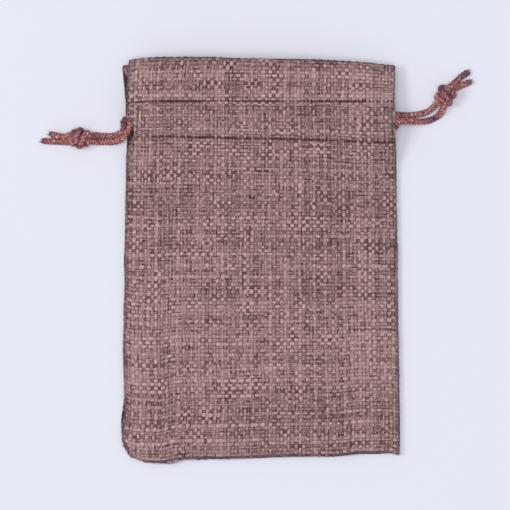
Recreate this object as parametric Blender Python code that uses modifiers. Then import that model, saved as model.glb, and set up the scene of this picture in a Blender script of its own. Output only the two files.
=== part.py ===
"""A small drawcord pouch of coarse woven cloth, empty and lying on its back panel.

Metres, +Z up. The mouth is towards +Y. The origin is on the surface that the pouch lies on, under the
middle of its cloth. Two panels are sewn together below the cord channel. Each panel's top edge is folded
inside as a deep hem, and two rows of stitching across it make the channel. Two cords run through both
channels, one with its ends out at the left and one with its ends out at the right.
"""
import math
from collections import namedtuple

import bmesh
import bpy
from mathutils import Vector

# Driving dimensions
CLOTH = 0.0010               # thickness of the cloth
PLY_GAP = 0.0003             # air between two layers that lie on each other
CORD_DIAMETER = 0.0020
HALF_WIDTH = 0.0475          # half of the pouch's nominal width
FOLD_RADIUS = (CLOTH + PLY_GAP) / 2
PRESSED = CLOTH + PLY_GAP                    # between the middles of two layers pressed together
OVER_CORD = CLOTH + CORD_DIAMETER + 2 * PLY_GAP  # between the middles of two layers with a cord in between
HEM_INSET = 0.0014           # how far the hem's ends stay inside the edges of the channel
FRONT_HEM_LEFT_INSET = 0.0028 # and at the left end, where a cord turns round them
BACK_HEM_LEFT_INSET = 0.0060
CROWN_POWER = 2.8            # how full the cloth is across its width: 2 is a lens, more is flatter
COLUMNS = 24                 # steps across a panel
EDGE_CROWDING = 0.35         # how much closer the steps are near the side edges
FOLD_STEPS = 4

# Outline of the panels, as they lie. Side rows are read at a height y, and end rows at a place x.
SideRow = namedtuple("SideRow", "y left right")
EndRow = namedtuple("EndRow", "x bottom lower_stitch upper_stitch top")

FRONT_SIDES = (
    SideRow(-0.0711, -0.0428, 0.0470),
    SideRow(-0.0700, -0.0433, 0.0474),
    SideRow(-0.0676, -0.0460, 0.0484),
    SideRow(-0.0644, -0.0480, 0.0487),
    SideRow(-0.0608, -0.0488, 0.0488),
    SideRow(-0.0572, -0.0482, 0.0488),
    SideRow(-0.0490, -0.0480, 0.0487),
    SideRow(-0.0315, -0.0481, 0.0484),
    SideRow(-0.0105, -0.0476, 0.0480),
    SideRow(0.0105, -0.0474, 0.0478),
    SideRow(0.0350, -0.0469, 0.0475),
    SideRow(0.0395, -0.0467, 0.0474),
    SideRow(0.0412, -0.0456, 0.0472),
    SideRow(0.0430, -0.0443, 0.0470),
    SideRow(0.0455, -0.0437, 0.0465),
    SideRow(0.0480, -0.0429, 0.0464),
    SideRow(0.0515, -0.0427, 0.0464),
    SideRow(0.0533, -0.0432, 0.0466),
    SideRow(0.0547, -0.0455, 0.0468),
    SideRow(0.0557, -0.0467, 0.0470),
    SideRow(0.0640, -0.0465, 0.0472),
    SideRow(0.0690, -0.0461, 0.0469),
    SideRow(0.0711, -0.0445, 0.0463),
)
BACK_SIDES = tuple(row for row in FRONT_SIDES if row.y < 0.0400) + (
    SideRow(0.0438, -0.0468, 0.0466),
    SideRow(0.0480, -0.0468, 0.0456),
    SideRow(0.0530, -0.0471, 0.0458),
    SideRow(0.0569, -0.0475, 0.0463),
    SideRow(0.0625, -0.0480, 0.0466),
    SideRow(0.0675, -0.0484, 0.0465),
    SideRow(0.0700, -0.0480, 0.0461),
)
FRONT_ENDS = (
    EndRow(-0.0475, -0.0690, 0.0433, 0.0550, 0.0702),
    EndRow(-0.0440, -0.0704, 0.0433, 0.0552, 0.0708),
    EndRow(-0.0334, -0.0709, 0.0433, 0.0555, 0.0711),
    EndRow(-0.0240, -0.0700, 0.0430, 0.0555, 0.0711),
    EndRow(-0.0114, -0.0695, 0.0427, 0.0555, 0.0709),
    EndRow(0.0040, -0.0690, 0.0424, 0.0555, 0.0708),
    EndRow(0.0247, -0.0687, 0.0419, 0.0555, 0.0701),
    EndRow(0.0345, -0.0680, 0.0414, 0.0555, 0.0695),
    EndRow(0.0436, -0.0676, 0.0412, 0.0555, 0.0687),
    EndRow(0.0475, -0.0682, 0.0412, 0.0555, 0.0684),
)
BACK_TOP_DROP = 0.0012       # the back panel's top edge lies this much lower than the front panel's
BACK_TOP_TILT = 0.014        # and drops this much for each metre towards the left corner

# Rows of the front panel from the bottom seam up to the mouth. side and middle are the heights of the cloth
# at its edges and half way across; where it is double, they are the heights half way between the layers.
PanelRow = namedtuple("PanelRow", "band along side middle ply_space")

FRONT_ROWS = (
    PanelRow("body", 0.000, 0.0018, 0.0018, 0.0),
    PanelRow("body", 0.012, 0.0018, 0.0033, 0.0),
    PanelRow("body", 0.035, 0.0018, 0.0049, 0.0),
    PanelRow("body", 0.075, 0.0018, 0.0063, 0.0),
    PanelRow("body", 0.130, 0.0018, 0.0071, 0.0),
    PanelRow("body", 0.190, 0.0018, 0.0074, 0.0),
    PanelRow("body", 0.260, 0.0018, 0.0073, 0.0),
    PanelRow("body", 0.330, 0.0018, 0.0074, 0.0),
    PanelRow("body", 0.410, 0.0018, 0.0079, 0.0),
    PanelRow("body", 0.490, 0.0018, 0.0086, 0.0),
    PanelRow("body", 0.570, 0.0018, 0.0091, 0.0),
    PanelRow("body", 0.650, 0.0018, 0.0094, 0.0),
    PanelRow("body", 0.730, 0.0018, 0.0097, 0.0),
    PanelRow("body", 0.800, 0.0018, 0.0101, 0.0),
    PanelRow("body", 0.860, 0.0018, 0.0107, 0.0),
    PanelRow("body", 0.910, 0.0020, 0.0112, 0.0),
    PanelRow("body", 0.955, 0.0034, 0.0117, 0.0),
    PanelRow("body", 0.985, 0.0054, 0.0120, 0.0),
    PanelRow("channel", 0.00, 0.0057, 0.0115, PRESSED),
    PanelRow("channel", 0.08, 0.0062, 0.0114, PRESSED + 0.30 * (OVER_CORD - PRESSED)),
    PanelRow("channel", 0.18, 0.0069, 0.0113, PRESSED + 0.72 * (OVER_CORD - PRESSED)),
    PanelRow("channel", 0.28, 0.0073, 0.0113, OVER_CORD),
    PanelRow("channel", 0.56, 0.0074, 0.0113, OVER_CORD),
    PanelRow("channel", 0.85, 0.0072, 0.0112, OVER_CORD),
    PanelRow("channel", 0.93, 0.0068, 0.0111, PRESSED + 0.5 * (OVER_CORD - PRESSED)),
    PanelRow("channel", 1.00, 0.0062, 0.0110, PRESSED),
    PanelRow("heading", 0.14, 0.0058, 0.0108, PRESSED + 0.0002),
    PanelRow("heading", 0.40, 0.0052, 0.0107, PRESSED + 0.0004),
    PanelRow("heading", 0.70, 0.0047, 0.0106, PRESSED + 0.0002),
    PanelRow("heading", 1.00, 0.0044, 0.0105, PRESSED),
)
BACK_BODY_STEPS = (0.0, 0.02, 0.08, 0.20, 0.35, 0.50, 0.65, 0.80, 0.92, 0.985)

# Soft swells and dips in the front panel, as it happens to lie.
Swell = namedtuple("Swell", "x y width length height")
SWELLS = (
    Swell(-0.002, 0.012, 0.016, 0.012, 0.0005),
    Swell(0.018, 0.004, 0.012, 0.014, 0.0004),
    Swell(-0.024, 0.024, 0.012, 0.010, 0.0004),
    Swell(-0.036, -0.022, 0.010, 0.016, -0.0006),
    Swell(-0.004, -0.025, 0.018, 0.008, -0.0005),
    Swell(0.020, -0.032, 0.010, 0.007, -0.0005),
    Swell(0.012, -0.021, 0.010, 0.007, 0.0004),
    Swell(-0.018, -0.048, 0.014, 0.009, 0.0004),
    Swell(0.020, -0.047, 0.016, 0.009, 0.0005),
)
# Small waves along the open top edge.
WAVE_HEIGHT = 0.0004
WAVE_LENGTH = 0.034

# The cords' routes, from inside one knot, through both channels and back into the knot. The front channel's
# stretch comes first.
LEFT_CORD_ROUTE = (
    (-0.0615, 0.0416, 0.0020), (-0.0595, 0.0414, 0.0013), (-0.0570, 0.0413, 0.0010), (-0.0545, 0.0413, 0.0011),
    (-0.0520, 0.0413, 0.0019), (-0.0500, 0.0418, 0.0028), (-0.0482, 0.0429, 0.0040), (-0.0468, 0.0446, 0.0053),
    (-0.0456, 0.0470, 0.0066), (-0.0447, 0.0494, 0.0072), (-0.0438, 0.0513, 0.0073), (-0.0423, 0.0524, 0.0074),
    (-0.0400, 0.0528, 0.0079), (-0.0365, 0.0526, 0.0086), (-0.0300, 0.0523, 0.0097), (-0.0200, 0.0521, 0.0107),
    (-0.0100, 0.0520, 0.0111), (0.0000, 0.0519, 0.0112), (0.0100, 0.0518, 0.0112), (0.0200, 0.0517, 0.0109),
    (0.0300, 0.0516, 0.0101), (0.0380, 0.0515, 0.0090), (0.0430, 0.0513, 0.0081), (0.0453, 0.0510, 0.0075),
    (0.0468, 0.0504, 0.0064), (0.0475, 0.0496, 0.0053), (0.0479, 0.0482, 0.0040), (0.0474, 0.0468, 0.0029),
    (0.0456, 0.0462, 0.0024), (0.0420, 0.0462, 0.0023), (0.0300, 0.0464, 0.0023), (0.0150, 0.0467, 0.0023),
    (0.0000, 0.0469, 0.0023), (-0.0150, 0.0472, 0.0023), (-0.0300, 0.0474, 0.0023), (-0.0400, 0.0474, 0.0023),
    (-0.0438, 0.0475, 0.0023), (-0.0457, 0.0486, 0.0024), (-0.0471, 0.0493, 0.0025), (-0.0479, 0.0482, 0.0024),
    (-0.0478, 0.0467, 0.0021), (-0.0481, 0.0453, 0.0015), (-0.0494, 0.0442, 0.0010), (-0.0518, 0.0436, 0.0010),
    (-0.0545, 0.0436, 0.0010), (-0.0570, 0.0438, 0.0012), (-0.0595, 0.0438, 0.0020), (-0.0615, 0.0440, 0.0031),
)
RIGHT_CORD_ROUTE = (
    (0.0656, 0.0562, 0.0028), (0.0650, 0.0538, 0.0019), (0.0634, 0.0511, 0.0011), (0.0606, 0.0493, 0.0010),
    (0.0575, 0.0486, 0.0011), (0.0548, 0.0485, 0.0025), (0.0522, 0.0485, 0.0047), (0.0498, 0.0485, 0.0065),
    (0.0476, 0.0483, 0.0074), (0.0455, 0.0482, 0.0075), (0.0420, 0.0482, 0.0083), (0.0380, 0.0481, 0.0090),
    (0.0300, 0.0481, 0.0102), (0.0200, 0.0480, 0.0110), (0.0100, 0.0480, 0.0113), (0.0000, 0.0479, 0.0113),
    (-0.0100, 0.0479, 0.0112), (-0.0200, 0.0478, 0.0108), (-0.0300, 0.0478, 0.0098), (-0.0365, 0.0477, 0.0087),
    (-0.0400, 0.0477, 0.0080), (-0.0418, 0.0480, 0.0072), (-0.0429, 0.0487, 0.0055), (-0.0430, 0.0494, 0.0037),
    (-0.0422, 0.0498, 0.0026), (-0.0405, 0.0499, 0.0023), (-0.0370, 0.0500, 0.0023), (-0.0250, 0.0502, 0.0023),
    (-0.0100, 0.0504, 0.0023), (0.0050, 0.0505, 0.0023), (0.0200, 0.0506, 0.0023), (0.0350, 0.0507, 0.0023),
    (0.0450, 0.0507, 0.0023), (0.0485, 0.0507, 0.0018), (0.0520, 0.0507, 0.0011), (0.0560, 0.0512, 0.0010),
    (0.0595, 0.0524, 0.0012), (0.0618, 0.0542, 0.0021), (0.0630, 0.0562, 0.0030),
)
LEFT_TAILS = (
    ((-0.0645, 0.0412, 0.0024), (-0.0670, 0.0413, 0.0012), (-0.0700, 0.0415, 0.0010), (-0.0735, 0.0416, 0.0010),
     (-0.0767, 0.0418, 0.0010)),
    ((-0.0642, 0.0432, 0.0034), (-0.0665, 0.0430, 0.0032), (-0.0690, 0.0431, 0.0028), (-0.0715, 0.0437, 0.0020),
     (-0.0739, 0.0443, 0.0013)),
)
RIGHT_TAILS = (
    ((0.0655, 0.0590, 0.0028), (0.0674, 0.0618, 0.0014), (0.0702, 0.0642, 0.0010), (0.0731, 0.0660, 0.0010)),
    ((0.0660, 0.0585, 0.0028), (0.0683, 0.0604, 0.0013), (0.0707, 0.0614, 0.0010), (0.0738, 0.0626, 0.0010)),
)

# The knots: each is a few turns of the doubled cord over a core. A turn stands across the knot's own run,
# turned by lean about the vertical, moved along the run, and reach is its half height and half width.
Knot = namedtuple("Knot", "x y z run core turns")
Turn = namedtuple("Turn", "along lean reach_across reach_up")
LEFT_KNOT = Knot(-0.0629, 0.0427, 0.0032, math.radians(176), (0.0030, 0.0028, 0.0026), (
    Turn(-0.0015, math.radians(24), 0.0029, 0.0021),
    Turn(0.0006, math.radians(-20), 0.0030, 0.0021),
    Turn(0.0020, math.radians(18), 0.0021, 0.0019),
))
RIGHT_KNOT = Knot(0.0648, 0.0577, 0.0032, math.radians(62), (0.0028, 0.0024, 0.0024), (
    Turn(-0.0021, math.radians(20), 0.0022, 0.0019),
    Turn(-0.0003, math.radians(-24), 0.0025, 0.0021),
    Turn(0.0018, math.radians(-16), 0.0022, 0.0020),
))

CORD_TURN_STEP = math.radians(24)  # the cords' tubes take a new point at each turn of this much
CORD_STEP = 0.0058                 # and at least one for each stretch of this length
CORD_SIDES_LEVEL = 2               # eight sides

CLOTH_COLOR = (0.30, 0.185, 0.175, 1.0)
CORD_COLOR = (0.28, 0.105, 0.095, 1.0)


def clear_scene():
    for old in list(bpy.data.objects):
        bpy.data.objects.remove(old, do_unlink=True)


def new_collection(name):
    collection = bpy.data.collections.new(name)
    bpy.context.scene.collection.children.link(collection)
    return collection


def new_material(name, color, roughness):
    material = bpy.data.materials.new(name)
    material.use_nodes = True
    shader = material.node_tree.nodes["Principled BSDF"]
    shader.inputs["Base Color"].default_value = color
    shader.inputs["Roughness"].default_value = roughness
    shader.inputs["Metallic"].default_value = 0.0
    material.diffuse_color = color
    return material


def mix(start, end, share):
    return start + (end - start) * share


def smooth_column(rows, key, column):
    """A function that reads a column of a table between its rows, on a curve that doesn't overshoot them."""
    places = [getattr(row, key) for row in rows]
    values = [getattr(row, column) for row in rows]
    rises = [(values[i + 1] - values[i]) / (places[i + 1] - places[i]) for i in range(len(rows) - 1)]
    slopes = [rises[0]]
    for before, after in zip(rises, rises[1:]):
        slopes.append(0.0 if before * after <= 0.0 else 2.0 * before * after / (before + after))
    slopes.append(rises[-1])

    def read(place):
        place = min(max(place, places[0]), places[-1])
        i = max(k for k in range(len(places) - 1) if places[k] <= place)
        step = places[i + 1] - places[i]
        t = (place - places[i]) / step
        return (
            values[i] * (1 + 2 * t) * (1 - t) ** 2
            + values[i + 1] * t * t * (3 - 2 * t)
            + slopes[i] * step * t * (1 - t) ** 2
            - slopes[i + 1] * step * t * t * (1 - t)
        )

    return read


def crown_share(across):
    """How much of its crown the cloth has at a share of its width: 0 at the edges and 1 in the middle."""
    return 1.0 - abs(2.0 * across - 1.0) ** CROWN_POWER


def swell_height(x, y):
    return sum(
        swell.height * math.exp(-(((x - swell.x) / swell.width) ** 2) - ((y - swell.y) / swell.length) ** 2)
        for swell in SWELLS
    )


def wave_height(x, share):
    return share * WAVE_HEIGHT * math.sin(2 * math.pi * x / WAVE_LENGTH + 0.6)


class Panel:
    """One panel's cut and lie: where the cloth is at a row and a share of the width."""

    def __init__(self, sides, rows, outer_side, soft, top_of, hem_insets):
        self.left = smooth_column(sides, "y", "left")
        self.right = smooth_column(sides, "y", "right")
        self.bottom = smooth_column(FRONT_ENDS, "x", "bottom")
        self.lower = smooth_column(FRONT_ENDS, "x", "lower_stitch")
        self.upper = smooth_column(FRONT_ENDS, "x", "upper_stitch")
        self.top_of = top_of
        self.rows = rows
        self.outer_side = outer_side
        self.soft = soft
        self.hem_insets = hem_insets

    def band_y(self, band, along, x):
        ends = {
            "body": (self.bottom, self.lower),
            "channel": (self.lower, self.upper),
            "heading": (self.upper, self.fold_start),
        }[band]
        return mix(ends[0](x), ends[1](x), along)

    def fold_start(self, x):
        return self.top_of(x) - CLOTH / 2 - FOLD_RADIUS

    def middle_height(self, row, across, x, y):
        height = mix(row.side, row.middle, crown_share(across))
        if self.soft:
            height += swell_height(x, y) * crown_share(across) if row.band == "body" else 0.0
            height += wave_height(x, row.along) if row.band == "heading" else 0.0
        return height

    def point(self, row, layer, across, past_fold=0.0, inset_share=0.0):
        """A point of the cloth's middle surface; layer is 1 on the upper side, -1 on the lower one."""
        nominal_x = mix(-HALF_WIDTH, HALF_WIDTH, across)
        y = self.band_y(row.band, row.along, nominal_x)
        left_inset, right_inset = (inset_share * inset for inset in self.hem_insets)
        x = mix(self.left(y) + left_inset, self.right(y) - right_inset, across)
        z = self.middle_height(row, across, x, y) + layer * row.ply_space / 2
        return Vector((x, y + past_fold, z))

    def lines(self):
        """The rows of points from the bottom seam, over the fold at the mouth and down to the hem's end."""
        outer = self.outer_side
        lines = [(row, outer, 0.0, 0.0) for row in self.rows]
        top = self.rows[-1]
        for step in range(1, FOLD_STEPS):
            angle = math.pi * step / FOLD_STEPS
            lines.append((top, outer * math.cos(angle), FOLD_RADIUS * math.sin(angle), 0.0))
        hem_rows = [row for row in reversed(self.rows) if row.band != "body"]
        for row in hem_rows:
            inset_share = 1.0 if row.band == "channel" else 1.0 - row.along
            lines.append((row, -outer, 0.0, inset_share))
        last = [row for row in self.rows if row.band == "body"][-1]
        between = -outer * PRESSED / 2
        hem_end = last._replace(side=last.side + between, middle=last.middle + between, ply_space=PRESSED)
        lines.append((hem_end, -outer, 0.0, 1.0))
        return lines


def front_top(x):
    return smooth_column(FRONT_ENDS, "x", "top")(x)


def back_top(x):
    return front_top(x) - BACK_TOP_DROP + BACK_TOP_TILT * min(x, 0.0)


def back_rows():
    """The back panel's outer layer lies flat, and its hem rises over the cords."""
    body = [PanelRow("body", along, CLOTH / 2, CLOTH / 2, 0.0) for along in BACK_BODY_STEPS]
    double = [
        row._replace(side=(CLOTH + row.ply_space) / 2, middle=(CLOTH + row.ply_space) / 2)
        for row in FRONT_ROWS
        if row.band != "body"
    ]
    return tuple(body + double)


def column_share(column):
    """Shares of the width, closer together near the edges."""
    even = column / COLUMNS
    crowded = 0.5 - 0.5 * math.cos(math.pi * even)
    return mix(even, crowded, EDGE_CROWDING)


def make_panel(name, panel, material, collection):
    """A grid laid along the panel's lines, thickened to the cloth."""
    lines = panel.lines()
    bm = bmesh.new()
    bmesh.ops.create_grid(bm, x_segments=COLUMNS, y_segments=len(lines) - 1, size=1.0)
    for vert in bm.verts:
        column = round((vert.co.x + 1.0) / 2.0 * COLUMNS)
        row, layer, past_fold, inset_share = lines[round((vert.co.y + 1.0) / 2.0 * (len(lines) - 1))]
        vert.co = panel.point(row, layer, column_share(column), past_fold, inset_share)
    if panel.outer_side < 0:
        bmesh.ops.reverse_faces(bm, faces=bm.faces)
    mesh = bpy.data.meshes.new(name)
    bm.to_mesh(mesh)
    bm.free()
    mesh.shade_smooth()
    mesh.materials.append(material)
    panel_object = bpy.data.objects.new(name, mesh)
    collection.objects.link(panel_object)
    thickness = panel_object.modifiers.new("cloth", "SOLIDIFY")
    thickness.thickness = CLOTH
    thickness.offset = 0.0
    thickness.use_even_offset = True
    return panel_object


def curve_point(before, start, end, after, t):
    """A point on the smooth curve through start and end, with even speed at both."""
    return 0.5 * (
        2 * start
        + (end - before) * t
        + (2 * before - 5 * start + 4 * end - after) * t * t
        + (3 * start - before - 3 * end + after) * t ** 3
    )


def smooth_route(route):
    """Points read from a smooth curve through a route, closer together where it bends."""
    marks = [Vector(mark) for mark in route]
    marks = [2 * marks[0] - marks[1]] + marks + [2 * marks[-1] - marks[-2]]
    points = [marks[1]]
    for before, start, end, after in zip(marks, marks[1:], marks[2:], marks[3:]):
        turn = (end - before).angle(after - start)
        steps = max(1, math.ceil(turn / CORD_TURN_STEP), math.ceil((end - start).length / CORD_STEP))
        points += [curve_point(before, start, end, after, step / steps) for step in range(1, steps + 1)]
    return points


def make_tube(name, route, collection):
    """A round cord along a route, as a closed mesh."""
    points = smooth_route(route)
    curve = bpy.data.curves.new(name, "CURVE")
    curve.dimensions = "3D"
    curve.bevel_depth = CORD_DIAMETER / 2
    curve.bevel_resolution = CORD_SIDES_LEVEL
    curve.use_fill_caps = True
    spline = curve.splines.new("POLY")
    spline.points.add(len(points) - 1)
    for spline_point, point in zip(spline.points, points):
        spline_point.co = (point.x, point.y, point.z, 1.0)
    curve_object = bpy.data.objects.new(name + "_curve", curve)
    collection.objects.link(curve_object)
    bpy.context.view_layer.update()
    evaluated = curve_object.evaluated_get(bpy.context.evaluated_depsgraph_get())
    mesh = bpy.data.meshes.new_from_object(evaluated)
    bm = bmesh.new()
    bm.from_mesh(mesh)
    bmesh.ops.remove_doubles(bm, verts=bm.verts, dist=0.00001)
    bmesh.ops.recalc_face_normals(bm, faces=bm.faces)
    bm.to_mesh(mesh)
    bm.free()
    tube = bpy.data.objects.new(name, mesh)
    tube.matrix_world = curve_object.matrix_world
    collection.objects.link(tube)
    bpy.data.objects.remove(curve_object, do_unlink=True)
    return tube


def place_mesh(placed, knot, along, turn):
    """Puts a primitive's own mesh into the knot, turned about the vertical."""
    run = Vector((math.cos(knot.run), math.sin(knot.run), 0.0))
    placed.location = Vector((knot.x, knot.y, knot.z)) + run * along
    placed.rotation_euler = (0.0, 0.0, knot.run + turn)


def make_knot_core(name, knot, collection):
    mesh = bpy.data.meshes.new(name)
    bm = bmesh.new()
    bmesh.ops.create_uvsphere(bm, u_segments=12, v_segments=8, radius=1.0)
    bmesh.ops.scale(bm, vec=knot.core, verts=bm.verts)
    bm.to_mesh(mesh)
    bm.free()
    core = bpy.data.objects.new(name, mesh)
    collection.objects.link(core)
    place_mesh(core, knot, 0.0, 0.0)
    return core


def make_knot_turn(name, knot, turn, collection):
    """One turn of the cord round the knot: a ring that stands across the run."""
    bpy.ops.mesh.primitive_torus_add(
        major_segments=14, minor_segments=8, major_radius=turn.reach_across, minor_radius=CORD_DIAMETER / 2
    )
    ring = bpy.context.object
    ring.name = name
    for home in list(ring.users_collection):
        home.objects.unlink(ring)
    collection.objects.link(ring)
    for vert in ring.data.vertices:
        flat = vert.co.copy()
        ring_share = turn.reach_up / turn.reach_across
        out = Vector((flat.x, flat.y, 0.0)).normalized() * turn.reach_across
        section = flat - out
        vert.co = Vector((section.z, out.x + section.x, out.y * ring_share + section.y))
    place_mesh(ring, knot, turn.along, turn.lean)
    return ring


def join_solids(target, tools):
    """Unites a collection of closed shapes with the target, as one solid."""
    union = target.modifiers.new("knot_and_tails", "BOOLEAN")
    union.operation = "UNION"
    union.solver = "EXACT"
    union.operand_type = "COLLECTION"
    union.collection = tools


def make_drawcord(name, route, tails, knot, material, parts):
    """One cord: its run through the channels, united with the turns of its knot and its two tails."""
    tools = new_collection(name + "_cutters")
    make_knot_core(name + "_core", knot, tools)
    for number, turn in enumerate(knot.turns):
        make_knot_turn(f"{name}_turn_{number}", knot, turn, tools)
    for number, tail in enumerate(tails):
        make_tube(f"{name}_tail_{number}", tail, tools)
    for tool in tools.objects:
        tool.hide_render = True
        tool.display_type = "WIRE"
    cord = make_tube(name, route, parts)
    join_solids(cord, tools)
    cord.data.shade_smooth()
    cord.data.materials.append(material)
    return cord


def main():
    clear_scene()
    parts = new_collection("drawcord_pouch")
    cloth = new_material("burlap_cloth", CLOTH_COLOR, 0.95)
    cord = new_material("twisted_cord", CORD_COLOR, 0.85)
    front = Panel(FRONT_SIDES, FRONT_ROWS, 1, True, front_top, (FRONT_HEM_LEFT_INSET, HEM_INSET))
    back = Panel(BACK_SIDES, back_rows(), -1, False, back_top, (BACK_HEM_LEFT_INSET, HEM_INSET))
    make_panel("front_panel", front, cloth, parts)
    make_panel("back_panel", back, cloth, parts)
    make_drawcord("drawcord_left", LEFT_CORD_ROUTE, LEFT_TAILS, LEFT_KNOT, cord, parts)
    make_drawcord("drawcord_right", RIGHT_CORD_ROUTE, RIGHT_TAILS, RIGHT_KNOT, cord, parts)


main()
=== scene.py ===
"""The looks of a small drawcord pouch of coarse woven cloth that lies on its back panel.

Metres, in the frame of the CAD part: +Z up, the mouth towards +Y. Each panel is a thin ground sheet, whose
dark colour is painted shade in the gaps, with its warp and weft yarns woven over and under each other on it.
Each cord is one twisted tube, from the tip of one tail through its knot, the two channels and the knot again
to the tip of its other tail.
"""

import math
from collections import namedtuple

import bmesh
import bpy
import numpy as np
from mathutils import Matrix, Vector, noise


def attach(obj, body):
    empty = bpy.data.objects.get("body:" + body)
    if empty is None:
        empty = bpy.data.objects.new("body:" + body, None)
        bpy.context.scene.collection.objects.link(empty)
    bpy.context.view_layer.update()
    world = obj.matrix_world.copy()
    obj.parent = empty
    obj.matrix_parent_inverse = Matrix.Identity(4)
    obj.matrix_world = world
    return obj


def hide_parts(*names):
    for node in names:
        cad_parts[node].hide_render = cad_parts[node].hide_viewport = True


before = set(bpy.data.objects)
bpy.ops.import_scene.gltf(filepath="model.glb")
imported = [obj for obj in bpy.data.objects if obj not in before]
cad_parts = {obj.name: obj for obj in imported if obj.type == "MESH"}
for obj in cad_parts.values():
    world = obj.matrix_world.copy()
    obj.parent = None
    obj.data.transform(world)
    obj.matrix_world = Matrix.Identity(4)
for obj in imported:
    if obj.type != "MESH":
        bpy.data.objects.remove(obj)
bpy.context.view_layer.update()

# Sizes of the cloth and the cords, as in the CAD part
CLOTH = 0.0010  # thickness of the cloth
PLY_GAP = 0.0003  # air between two layers that lie on each other
CORD_DIAMETER = 0.0020
HALF_WIDTH = 0.0475
FOLD_RADIUS = (CLOTH + PLY_GAP) / 2
PRESSED = CLOTH + PLY_GAP  # between the middles of two layers pressed together
OVER_CORD = CLOTH + CORD_DIAMETER + 2 * PLY_GAP
HEM_INSET = 0.0014  # how far the hem's ends stay inside the edges of the channel
FRONT_HEM_LEFT_INSET = 0.0028
BACK_HEM_LEFT_INSET = 0.0060
CROWN_POWER = 2.8  # how full the cloth is across its width: 2 is a lens, more is flatter
FOLD_STEPS = 4
BACK_TOP_DROP = 0.0012  # the back panel's top edge lies this much lower than the front panel's
BACK_TOP_TILT = 0.014  # and drops this much for each metre towards the left corner
WAVE_HEIGHT = 0.0004  # small waves along the open top edge
WAVE_LENGTH = 0.034
WAVE_START = 0.6

# Each panel's flat cut
CUT_WIDTH = 0.0965

SideRow = namedtuple("SideRow", "y left right")
EndRow = namedtuple("EndRow", "x bottom lower_stitch upper_stitch top")
PanelRow = namedtuple("PanelRow", "band along side middle ply_space")
Swell = namedtuple("Swell", "x y width length height")
Knot = namedtuple("Knot", "x y z run along across up first_turn")
KnotStep = namedtuple("KnotStep", "along turn out")
Light = namedtuple("Light", "name place size power color")


def rows_of(kind, *rows):
    return tuple(kind(*row) for row in rows)


# Outline of the panels, as they lie. It is nearly the CAD part's, with finer turns at the slits, the corners
# and the bottom edge. Side rows are read at a height y, and end rows at a place x.
SLIT_START = 0.0400  # the slits at the sides, where the cords come out, lie between these heights
SLIT_END = 0.0550
CORNERS_END = -0.0610  # the rounded corners lie below this
FRONT_SIDES = rows_of(
    SideRow,
    (-0.0711, -0.0428, 0.0470), (-0.0700, -0.0437, 0.0474), (-0.0676, -0.0460, 0.0484),
    (-0.0644, -0.0478, 0.0487), (-0.0605, -0.0487, 0.0488), (-0.0560, -0.0479, 0.0488),
    (-0.0490, -0.0477, 0.0487), (-0.0315, -0.0481, 0.0484), (-0.0105, -0.0476, 0.0480),
    (0.0105, -0.0474, 0.0478), (0.0350, -0.0469, 0.0475), (0.0395, -0.0467, 0.0474),
    (0.0412, -0.0456, 0.0472), (0.0430, -0.0443, 0.0470), (0.0455, -0.0437, 0.0465),
    (0.0478, -0.0434, 0.0464), (0.0487, -0.0443, 0.0464), (0.0495, -0.0457, 0.0464),
    (0.0502, -0.0465, 0.0464), (0.0533, -0.0466, 0.0466), (0.0557, -0.0467, 0.0470),
    (0.0640, -0.0465, 0.0472), (0.0690, -0.0461, 0.0469), (0.0711, -0.0445, 0.0463),
)
BACK_SIDES = tuple(row for row in FRONT_SIDES if row.y < SLIT_START) + rows_of(
    SideRow,
    (0.0438, -0.0468, 0.0466), (0.0480, -0.0468, 0.0456), (0.0530, -0.0471, 0.0458),
    (0.0569, -0.0475, 0.0463), (0.0625, -0.0480, 0.0466), (0.0675, -0.0484, 0.0465),
    (0.0700, -0.0480, 0.0461),
)
FRONT_ENDS = rows_of(
    EndRow,
    (-0.0475, -0.0690, 0.0433, 0.0550, 0.0702), (-0.0440, -0.0709, 0.0433, 0.0552, 0.0708),
    (-0.0352, -0.0712, 0.0433, 0.0555, 0.0711), (-0.0306, -0.0700, 0.0432, 0.0555, 0.0711),
    (-0.0240, -0.0695, 0.0430, 0.0555, 0.0711), (-0.0114, -0.0694, 0.0427, 0.0555, 0.0709),
    (0.0040, -0.0688, 0.0424, 0.0555, 0.0706), (0.0247, -0.0686, 0.0419, 0.0555, 0.0699),
    (0.0345, -0.0676, 0.0414, 0.0555, 0.0695), (0.0436, -0.0675, 0.0412, 0.0555, 0.0687),
    (0.0475, -0.0682, 0.0412, 0.0555, 0.0684),
)

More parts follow.
